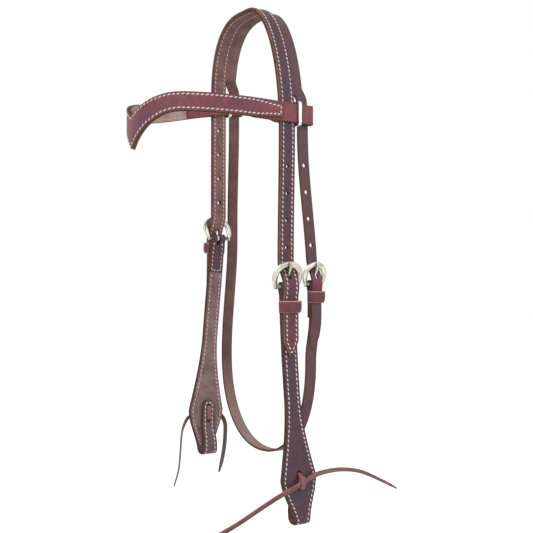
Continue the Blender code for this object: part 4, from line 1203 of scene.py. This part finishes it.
def cheek_half(buckling, route, distance, lowest):
    """Half the cheekpiece's width: strap, paddle and bit end, or the laced tongue past the fold."""
    height = route.place(distance).z - buckling.bar_z + CHEEK_LENGTH
    if distance > lowest:
        half = mix(BIT_END, LACED_WIDE, ease(height / (FOLD_CLOSE + BIT_GAP))) / 2
        left = max(0, LACED_END - height) / half
        return half * math.sqrt(1 - max(0, 1 - left) ** 2 * LACED_ROUND)
    if height <= PADDLE_RISE:
        return mix(BIT_END, PADDLE, ease(height / PADDLE_RISE)) / 2
    share = min(1, (height - PADDLE_RISE) / PADDLE_FLARE)
    return mix(STRAP, PADDLE, (1 - share) ** 2 * (1 + share * PADDLE_SWELL)) / 2


CHEEK_HIDE = (
    *hide(
        "cheek",
        ((80, 68, 84), (102, 65, 72), (76, 58, 62)),
        ((104, 78, 72), (84, 62, 62)),
        ((158, 134, 132), (134, 102, 98)),
    ),
    leather("cheek_rubbed", (112, 94, 102), (126, 92, 96), (98, 76, 76), rough=0.58),
)


def build_cheekpiece(side_name, buckling):
    layer = buckling.layer
    wrap = bar_loop(buckling, TURNBACK, LOOP_TAPER)
    wrap = [p + ALONG_Y * cheek_sway(buckling.side, p.z - buckling.bar_z) for p in wrap]
    folded = fold_line(buckling, layer + GAP, -LOOP_TAPER)[1:]
    laid = fold_line(buckling, 0, -TURNBACK - LINING_GAP)
    face_rows, back_rows = [], []
    for line, name, node in (
        (wrap + folded, "_cheek_front", "_cheek_outer"),
        (laid, "_cheek_back", "_cheek_lining"),
    ):
        is_outer = node == "_cheek_outer"
        route = Route(spread(line), ALONG_Y * buckling.side)
        lowest = min(route.along, key=lambda d: route.place(d).z)

        def half_at(distance):
            if is_outer and distance < TURNBACK:
                return STRAP / 2
            return cheek_half(buckling, route, distance, lowest)

        def outline(distance):
            half = half_at(distance)
            points = section(-half, half, -layer / 2, layer / 2, groove=ROW_INSET)
            if is_outer and distance > lowest + RUBBED_PAST:
                points = [(a, o, RUBBED if k == GRAIN else k, near) for a, o, k, near in points]
            return points

        stations = route.stations(0, route.length, STATION_STEP)
        piece = strap_piece(side_name + name, CHEEK_HIDE, route, stations, outline)
        punch = bmesh.new()
        for height in LACE_HOLES:
            middle = cheek_point(buckling, 0, height - CHEEK_LENGTH)
            round_cut(punch, middle, ALONG_X * PUNCH_REACH, LACE_HOLE_RADIUS)
        if is_outer:
            notch_cut(punch, buckling)
        cut(piece, punch)
        place_piece(piece, "headstall", side_name + node)

        face, back = layer / 2, -layer / 2
        if is_outer:
            top = buckling.bar_z - FACE_ROW_DROP
            down = route.where(lambda p: p.z <= top, TURNBACK + FACE_ROW_PAST)
            face_rows.append(edge_row(route, down, route.length - FACE_ROW_LEFT, half_at, face))
            back_rows.append(edge_row(route, TURNBACK - BACK_ROW_SHORT, BACK_ROW_LEFT, half_at, face))
            for side in (1, -1):
                back_rows.append([route.on(TACK_DROP, side * aside, face) for aside in TACKS_ASIDE])
        else:
            low = buckling.bar_z - CHEEK_LENGTH + BIT_SEAT_RISE
            stop = route.where(lambda p: p.z <= low)
            row = edge_row(route, BACK_ROW_LEFT, stop, half_at, back, sign=-1)
            back_rows += [row[: len(row) // 2], row[len(row) // 2 :]]
    sew(side_name + "_cheek_stitching", "headstall", face_rows, FACE_THREAD)
    inside_name = side_name + "_cheek_stitching_inside"
    sew(inside_name, "headstall", back_rows, BACK_THREAD, BACK_FULLNESS)


for side_name, side in SIDES:
    build_cheekpiece(side_name, CHEEKS[side])


# Buckles: cast nickel horseshoes, domed on the face, with a straight bar across the feet and a bent wire
# prong whose root is curled round the bar. The prong's tip rests on the horseshoe's arch.
FOOT = 0.0022
FOOT_ASIDE = 0.8
RIM_WIDEST = 0.42
RIM_CURVE = 2 / 2.15
RIM_FULLER = 0.0003
RIM_DOME = 1.1
RIM_BACK = 0.8
BAR_REACH = 0.82
PRONG_TIP = 0.65
CURL_SPACE = 0.0009
CURL_WIRE = 0.0007


def nickel(name, tone, rough, tarnish=0.0):
    """Cast, polished metal with light handling marks."""
    finish = Finish(name)
    wear = finish.noise(240, 5)
    fine = finish.noise(1900, 2)
    broad = finish.noise(85, 3)
    share = finish.share(wear, 0.4, 0.68)
    dull = finish.share(broad, 0.42, 0.62)
    color = finish.blend(share, tint(tone), shade(tone, 0.72))
    color = finish.blend(dull * tarnish, color, shade(tone, 0.42))
    bump = finish.bump(0.12, wear + fine, 0.0002)
    finish.feed(Base_Color=color, Metallic=1.0, Roughness=wear * 0.3 + (rough - 0.12), Normal=bump)
    return finish.material


NICKEL = nickel("nickel", (214, 209, 196), rough=0.3, tarnish=0.6)
BAR_METAL = nickel("dull_bar", (150, 143, 130), rough=0.4, tarnish=0.7)


def rim_line(buckling, samples=60):
    """The horseshoe's middle line as (aside, rise), foot to foot over the arch."""
    widest = buckling.rise * RIM_WIDEST
    half, line = buckling.half, []
    for i in range(8):
        share = i / 8
        aside = -mix(half * FOOT_ASIDE, half, ease(share * 1.2))
        line.append((aside, mix(-FOOT, widest, share)))
    for i in range(samples + 1):
        turn = math.pi * i / samples
        aside = -half * math.copysign(abs(math.cos(turn)) ** RIM_CURVE, math.cos(turn))
        line.append((aside, widest + (buckling.rise - widest) * math.sin(turn) ** RIM_CURVE))
    line += [(-aside, rise) for aside, rise in reversed(line[:8])]
    return line


def tube(mesh, points, sizes, hint, sides=20, closed=False, flat=1.0):
    """A tube whose half width and half depth are given at each point, flattened at its back."""
    rings, count = [], len(points)
    for i, point in enumerate(points):
        before = points[(i - 1) % count] if closed else points[max(i - 1, 0)]
        after = points[(i + 1) % count] if closed else points[min(i + 1, count - 1)]
        tangent = (after - before).normalized()
        depth = (hint - tangent * hint.dot(tangent)).normalized()
        width = tangent.cross(depth)
        ring = []
        for k in range(sides):
            turn = math.tau * k / sides
            rise = math.sin(turn) * (flat if math.sin(turn) < 0 else 1)
            offset = width * sizes[i][0] * math.cos(turn) + depth * sizes[i][1] * rise
            ring.append(mesh.verts.new(point + offset))
        rings.append(ring)
    skin(mesh, rings, closed)


def build_buckle(name, node, buckling):
    mesh = bmesh.new()
    line = rim_line(buckling)
    out = buckling.in_frame(0, 0, 1) - buckling.in_frame(0, 0, 0)
    inward = 1 - RIM_FULLER / buckling.half
    points = [
        buckling.in_frame(aside * inward + buckling.slide, rise * inward, 0) for aside, rise in line
    ]
    sizes = []
    for i in range(len(line)):
        end = ease(min(i, len(line) - 1 - i) / 9)
        full = mix(0.7, 1, end)
        deep = buckling.rim_deep * RIM_DOME
        sizes.append(((buckling.rim_half + RIM_FULLER) * full, deep * full))
    tube(mesh, points, sizes, out, 24, flat=RIM_BACK)
    reach = buckling.half * BAR_REACH
    ends = [buckling.in_frame(a + buckling.slide, 0, 0) for a in (-reach, reach)]
    size = (buckling.bar_radius, buckling.bar_radius)
    cast = len(mesh.faces)
    tube(mesh, ends, [size, size], out, 24)
    for face in list(mesh.faces)[cast:]:
        face.material_index = 1
    frame_piece = made(mesh, name + "_horseshoe", [NICKEL, BAR_METAL])
    place_piece(frame_piece, node + "_buckle", name + "_frame")

    mesh = bmesh.new()
    path = prong_line(buckling)
    points = [buckling.in_frame(prong_lean(buckling, p.x), p.x, p.y) for p in path]
    sizes = []
    for i in range(len(path)):
        radius = PRONG_RADIUS * mix(1, PRONG_TIP, ease((i - len(path) + 1) / 6 + 1))
        sizes.append((radius, radius))
    tube(mesh, points, sizes, ALONG_Y, 16)
    curl = []
    radius = buckling.bar_radius + CURL_SPACE
    for i in range(40):
        turn = math.tau * i / 40
        curl.append(buckling.in_frame(0, radius * math.cos(turn), radius * math.sin(turn)))
    tube(mesh, curl, [(CURL_WIRE, PRONG_RADIUS)] * 40, ALONG_Y, 16, closed=True)
    prong = made(mesh, name + "_tongue", [NICKEL])
    place_piece(prong, node + "_prong", name + "_prong")


for side_name, side in SIDES:
    build_buckle(side_name + "_cheek_buckle", side_name, CHEEKS[side])
build_buckle("throat_buckle", "throat", throat_buckle)


# Keepers: flat loops of hide under each buckle, their ends tucked between the layers of the strap.
# The billet's tip is pushed through.
KEEPER_THICK = 0.0018
KEEPER_CORNER = 0.0030
KEEPER_ROUND = 0.0012
KEEPER_TUCKED = 0.002
KEEPER_SWELL = 0.0012
KEEPER_PARED = 0.0007
KEEPER_BELLY = 0.6
KEEPER_ROOM = 0.0005
KEEPER_STEP = 0.0005
# The keeper's grain turns pale tan along its upper edge: a painted highlight where light falls on its top.
# Its pale cut edge is partly raw hide and partly painted highlight.
KEEPER_HIDE = hide(
    "keeper",
    ((126, 72, 76), (108, 68, 82), (192, 146, 132)),
    ((220, 178, 158), (184, 138, 118)),
    ((104, 76, 74), (90, 66, 64)),
)


def build_keeper(name, buckling, width, sways):
    drop = buckling.keeper_drop
    aside = width / 2 + GAP + KEEPER_THICK / 2
    deepest = buckling.inner_depth(KEEPER_HIGH / 2 - drop) + buckling.billet
    top = deepest + KEEPER_ROOM + KEEPER_THICK / 2
    corner = KEEPER_CORNER
    flat = [(-aside, buckling.bar_depth), (-aside, top - corner)]
    for i in range(1, 11):
        turn = math.pi / 2 * i / 10
        ahead = corner * (1 - math.cos(turn))
        flat.append((-aside + ahead, top - corner + corner * math.sin(turn)))
    flat += [(-a, d) for a, d in reversed(flat)]
    lean, shift = ALONG_Z, 0
    if sways:
        shift = cheek_sway(buckling.side, -drop)
        lean = cheek_point(buckling, 0, -drop) - cheek_point(buckling, 0, -drop - corner)
    line = [buckling.point(d, -drop, a + shift) for a, d in flat][:: buckling.side]
    route = Route(spread(line, KEEPER_STEP), lean)
    half, thick = KEEPER_HIGH / 2, KEEPER_THICK / 2

    def keeper_outline(distance):
        left = min(distance, route.length - distance)
        full = math.sqrt(1 - max(0, 1 - left / KEEPER_ROUND) ** 2 * 0.8)
        pushed = ease((left - KEEPER_TUCKED) / KEEPER_TUCKED)
        outline = []
        for rise, out, kind, near in section(-half, half, -thick * full, thick * full):
            high = (rise / half + 1) / 2
            full_at = math.sqrt(1 - max(0, 1 - high / KEEPER_BELLY) ** 2)
            bulge = mix(-KEEPER_PARED, KEEPER_SWELL, full_at) if out > 0 else KEEPER_SWELL * full_at**2
            # The edge tone is kept to the upper edge only: a painted highlight along the keeper's top.
            outline.append((rise, out + pushed * bulge, kind, near**2 * ease(high * 1.6)))
        return outline

    stations = route.stations(0, route.length, KEEPER_STEP)
    keeper = strap_piece(name + "_loop", KEEPER_HIDE, route, stations, keeper_outline, kind=GRAIN)
    place_piece(keeper, "headstall", name)


for side_name, side in SIDES:
    build_keeper(side_name + "_cheek_keeper", CHEEKS[side], STRAP, True)
build_keeper("throat_keeper", throat_buckle, THROAT_STRAP, False)


# Browband: a base of oiled hide that loops round both straps at each end, and a shaped overlay sewn on it,
# which dips to a V at the forehead. It can slide on the straps.
BROW_FRONT = 0.1205
BROW_STRAIGHT = 0.014
BROW_LAYER = 0.0022
BROW_OVERLAY = 0.0019
BROW_SPACE = 0.0006
BROW_LAP = 0.016
BROW_TURN = 0.012
BROW_FOLD = 0.4
BESIDE_BELOW = 0.006
BESIDE_ABOVE = 0.0015
V_REACH = 0.050
V_DROP = 0.030
V_TOP_DROP = 0.018
BAND_WAIST = 0.0021
WAIST_START = 0.004
WAIST_REACH = 0.026
BAND_SETBACK = 0.0002
BAND_MARGIN = 0.0005
BAND_ROW_STEP = 0.0005
straps_rear = spread_fore + THROAT_STRAP / 2
strap_front = STRAP_FORE - STRAP / 2


def brow_z(side, y):
    return BROW_Z + BROW_RISE[side] * ease((y + BROW_FRONT) / (straps_rear + BROW_FRONT))


def brow_legs(side):
    """How far out the middles of the band's inner and outer legs run, past the crown."""
    middle = brow_z(side, straps_rear)
    beside = [
        abs(p.x)
        for p in crown_line.points
        if p.x * side > REST_HALF
        and middle - BROW_HALF - BESIDE_BELOW <= p.z <= middle + BROW_HALF + BESIDE_ABOVE
    ]
    space = BROW_SPACE + BROW_LAYER / 2
    return min(beside) - space, max(beside) + billet + space


def brow_side(side, samples=90):
    """One half of the band in plan: lap, inner leg, fold, outer leg and quarter round."""
    x_in, x_out = brow_legs(side)
    y_edge = strap_front - BROW_SPACE
    quarter = []
    for i in range(samples + 1):
        turn = math.pi / 2 * i / samples
        y = -BROW_STRAIGHT - (BROW_FRONT - BROW_STRAIGHT) * math.sin(turn)
        quarter.append(Vector((x_out * math.cos(turn), y, 0)))
    plan = Route([(x_out, y_edge, 0), *quarter[1:]], ALONG_Z)
    lap = []
    for i in range(17):
        d = mix(BROW_TURN + BROW_LAP, BROW_TURN, i / 16)
        here, out = plan.on(d, 0, 0)
        lap.append(here - out * (BROW_LAYER + GAP) * math.copysign(1, out.x))
    start = lap[-1]
    for i in range(1, 17):
        share = i / 16
        lap.append(Vector((mix(start.x, x_in, ease(share)), mix(start.y, y_edge, share), 0)))
    lap.append(Vector((x_in, straps_rear, 0)))
    for i in range(1, 24):
        turn = math.pi * i / 24
        x = mix(x_in, x_out, (1 - math.cos(turn)) / 2)
        lap.append(Vector((x, straps_rear + (x_out - x_in) * BROW_FOLD * math.sin(turn), 0)))
    lap += [Vector((x_out, y, 0)) for y in (straps_rear, y_edge)]
    points = spread(lap + quarter)
    return [Vector((side * p.x, p.y, brow_z(side, p.y))) for p in points]


brow_line = Route(brow_side(NEAR) + list(reversed(brow_side(FAR)[:-1])), ALONG_Z)
brow_middle = min(
    brow_line.along,
    key=lambda d: abs(brow_line.place(d).x) + (brow_line.place(d).y > 0),
)


def brow_edges(distance, inset=0.0):
    share = max(0, 1 - abs(distance - brow_middle) / V_REACH) ** 2
    return -BROW_HALF - V_DROP * share + inset, BROW_HALF - V_TOP_DROP * share - inset


BAND_HIDE = hide(
    "band",
    ((156, 83, 84), (132, 76, 86), (112, 68, 64)),
    ((124, 92, 76), (104, 76, 66)),
    ((202, 174, 164), (176, 148, 138)),
    rough=0.46,
)
BAND_OVERLAY_HIDE = hide(
    "band_top",
    ((116, 76, 94), (144, 77, 79), (106, 70, 70)),
    ((128, 96, 80), (106, 76, 68)),
    ((104, 76, 74), (90, 66, 64)),
    rough=0.46,
)


def band_outline(low, high, inner, outer, groove=None):
    """A cross-section whose grain side is turned away from the head."""
    points = section(low, high, inner, outer, groove=groove)
    return [(a, -o, kind, near) for a, o, kind, near in points]


def band_waist(distance):
    """How much narrower the overlay is near its two ends."""
    left = min(distance - band_start, band_end - distance)
    return BAND_WAIST * ease(1 - (left - WAIST_START) / WAIST_REACH)


band_stations = brow_line.stations(0, brow_line.length, STATION_STEP, (brow_middle,))
band = strap_piece(
    "band_base",
    BAND_HIDE,
    brow_line,
    band_stations,
    lambda d: band_outline(*brow_edges(d), -BROW_LAYER / 2, BROW_LAYER / 2),
)
place_piece(band, "browband", "browband_base")

band_fold = brow_line.where(lambda p: p.y > straps_rear)
band_start = brow_line.where(lambda p: p.y <= strap_front - BAND_SETBACK, band_fold)
band_end = brow_line.where(lambda p: p.y >= strap_front - BAND_SETBACK, brow_middle)
band_inner = BROW_LAYER / 2 + GAP
band_top = strap_piece(
    "band_top",
    BAND_OVERLAY_HIDE,
    brow_line,
    [band_start] + [d for d in band_stations if band_start < d < band_end] + [band_end],
    lambda d: band_outline(
        *brow_edges(d, BAND_MARGIN + band_waist(d)),
        band_inner,
        band_inner + BROW_OVERLAY,
        groove=ROW_INSET,
    ),
)
place_piece(band_top, "browband", "browband_overlay")


def band_rows(outward, sign):
    """A closed row round the overlay, with its rows pinched together at the V."""
    row = []
    start, end = band_start + ROW_INSET, band_end - ROW_INSET
    count = round((end - start) / BAND_ROW_STEP)
    for high in (False, True):
        for i in range(count + 1):
            d = mix(start, end, 1 - i / count if high else i / count)
            low_edge, high_edge = brow_edges(d, ROW_INSET + band_waist(d))
            point, out = brow_line.on(d, high_edge if high else low_edge, -outward)
            row.append((point, -out * sign))
    row.append(row[0])
    return row


face_row = band_rows(band_inner + BROW_OVERLAY, 1)
sew("band_stitching", "browband", [face_row], FACE_THREAD)
back_row = band_rows(-BROW_LAYER / 2, -1)
sew("band_stitching_inside", "browband", [back_row], BACK_THREAD, BACK_FULLNESS)


# Rings: bright nickel wire bent to a rounded oblong, its ends joined. Each goes round both legs of the
# browband, between the cheek strap and the throat strap.
RING_DEEP = 0.0017
RING_METAL = nickel("bright_nickel", (232, 232, 230), rough=0.16)


def build_ring(side_name, side):
    inner, outer = brow_legs(side)
    space = BROW_LAYER / 2 + RING_SPACE + RING_WIRE
    x_low, x_high = inner - space, outer + space
    fore = STRAP_FORE + STRAP / 2 + SPLIT_SPREAD / 2
    z = brow_z(side, fore)
    rise = BROW_HALF + RING_SPACE + RING_WIRE
    corner = RING_WIRE * 2
    points = []
    for cx, cz, start in (
        (x_high - corner, z + rise - corner, 0),
        (x_low + corner, z + rise - corner, 1),
        (x_low + corner, z - rise + corner, 2),
        (x_high - corner, z - rise + corner, 3),
    ):
        for i in range(11):
            turn = math.pi / 2 * (start + i / 10)
            x, height = cx + corner * math.cos(turn), cz + corner * math.sin(turn)
            points.append(Vector((side * x, fore, height)))
    mesh = bmesh.new()
    tube(mesh, points, [(RING_WIRE, RING_DEEP)] * len(points), ALONG_Y, 18, closed=True)
    piece = made(mesh, side_name + "_band_ring", [RING_METAL])
    place_piece(piece, side_name + "_ring", side_name + "_browband_ring")


for side_name, side in SIDES:
    build_ring(side_name, side)


# Tie laces: narrow strips of oiled hide. Each goes in through one hole of its paddle and out through
# the other, and is knotted outside, so that the fold at the bit end stays shut.
KNOT_SLANT = math.radians(22)
KNOT_LONG = 0.0138
KNOT_WIDE = 0.0024
KNOT_THIN = 0.0013
KNOT_PLACE = 0.4
LACE_SET = 0.00075
LACE_THIN = 0.0009
LACE_IN_HOLE = 0.0018
LOOP_WIDE = 0.0048
WRAP_HALF = 0.0046
WRAP_WIDE = 0.0050
WRAP_SLANT = 0.0017
WRAP_DEEP = 0.00217
WRAP_THIN = 0.0011


def build_knot(side_name, buckling):
    side, layer = buckling.side, buckling.layer
    face = 2 * layer + GAP
    low, high = (height - CHEEK_LENGTH for height in LACE_HOLES)
    depth_in = -2 * (layer + GAP) - GAP - LACE_SET
    depth_out = face + GAP + WRAP_DEEP + WRAP_THIN
    middle = (low + high) / 2
    quarter = [
        (depth_out, 0),
        (depth_out - 0.0004, 0.0032),
        (face + 0.0014, 0.0057),
        (face - 0.0015, 0.0065),
        (depth_in + 0.0017, 0.0064),
        (depth_in, 0.0044),
        (depth_in, 0),
    ]
    loop = quarter + [(d, -h) for d, h in reversed(quarter[1:-1])]
    points = smooth_line([cheek_point(buckling, d, middle + h) for d, h in loop + loop[:1]], 5)
    mesh = bmesh.new()
    bands = []
    for i in range(len(points) - 1):
        flat = abs(math.cos(math.tau * i / (len(points) - 1))) ** 2
        bands.append((LACE_THIN, mix(LACE_IN_HOLE, LOOP_WIDE / 2, flat)))
    tube(mesh, points[:-1], bands, ALONG_Y, 16, closed=True)
    centre = cheek_point(buckling, depth_out, mix(low, high, KNOT_PLACE))
    run = Vector((0, math.cos(KNOT_SLANT), math.sin(KNOT_SLANT)))
    out = Vector((side, 0, 0))
    across = run.cross(out)
    strip = [centre + run * mix(-1, 1, i / 20) * KNOT_LONG / 2 for i in range(21)]
    swell = [(KNOT_WIDE * (1 - 0.1 * math.cos(i / 20 * math.tau)), KNOT_THIN) for i in range(21)]
    tube(mesh, strip, swell, out, 18)
    wrap = []
    for i in range(40):
        turn = math.tau * i / 40
        shift = -run * WRAP_SLANT * math.cos(turn)
        bend = across * WRAP_HALF * math.cos(turn) + out * WRAP_DEEP * math.sin(turn)
        wrap.append(centre + bend + shift)
    tube(mesh, wrap, [(WRAP_THIN, WRAP_WIDE / 2)] * 40, run, 16, closed=True)
    knot = made(mesh, side_name + "_lace_knot", [LACE_LEATHER[0]])
    place_piece(knot, "headstall", side_name + "_tie_knot")


for side_name, side in SIDES:
    build_knot(side_name, CHEEKS[side])
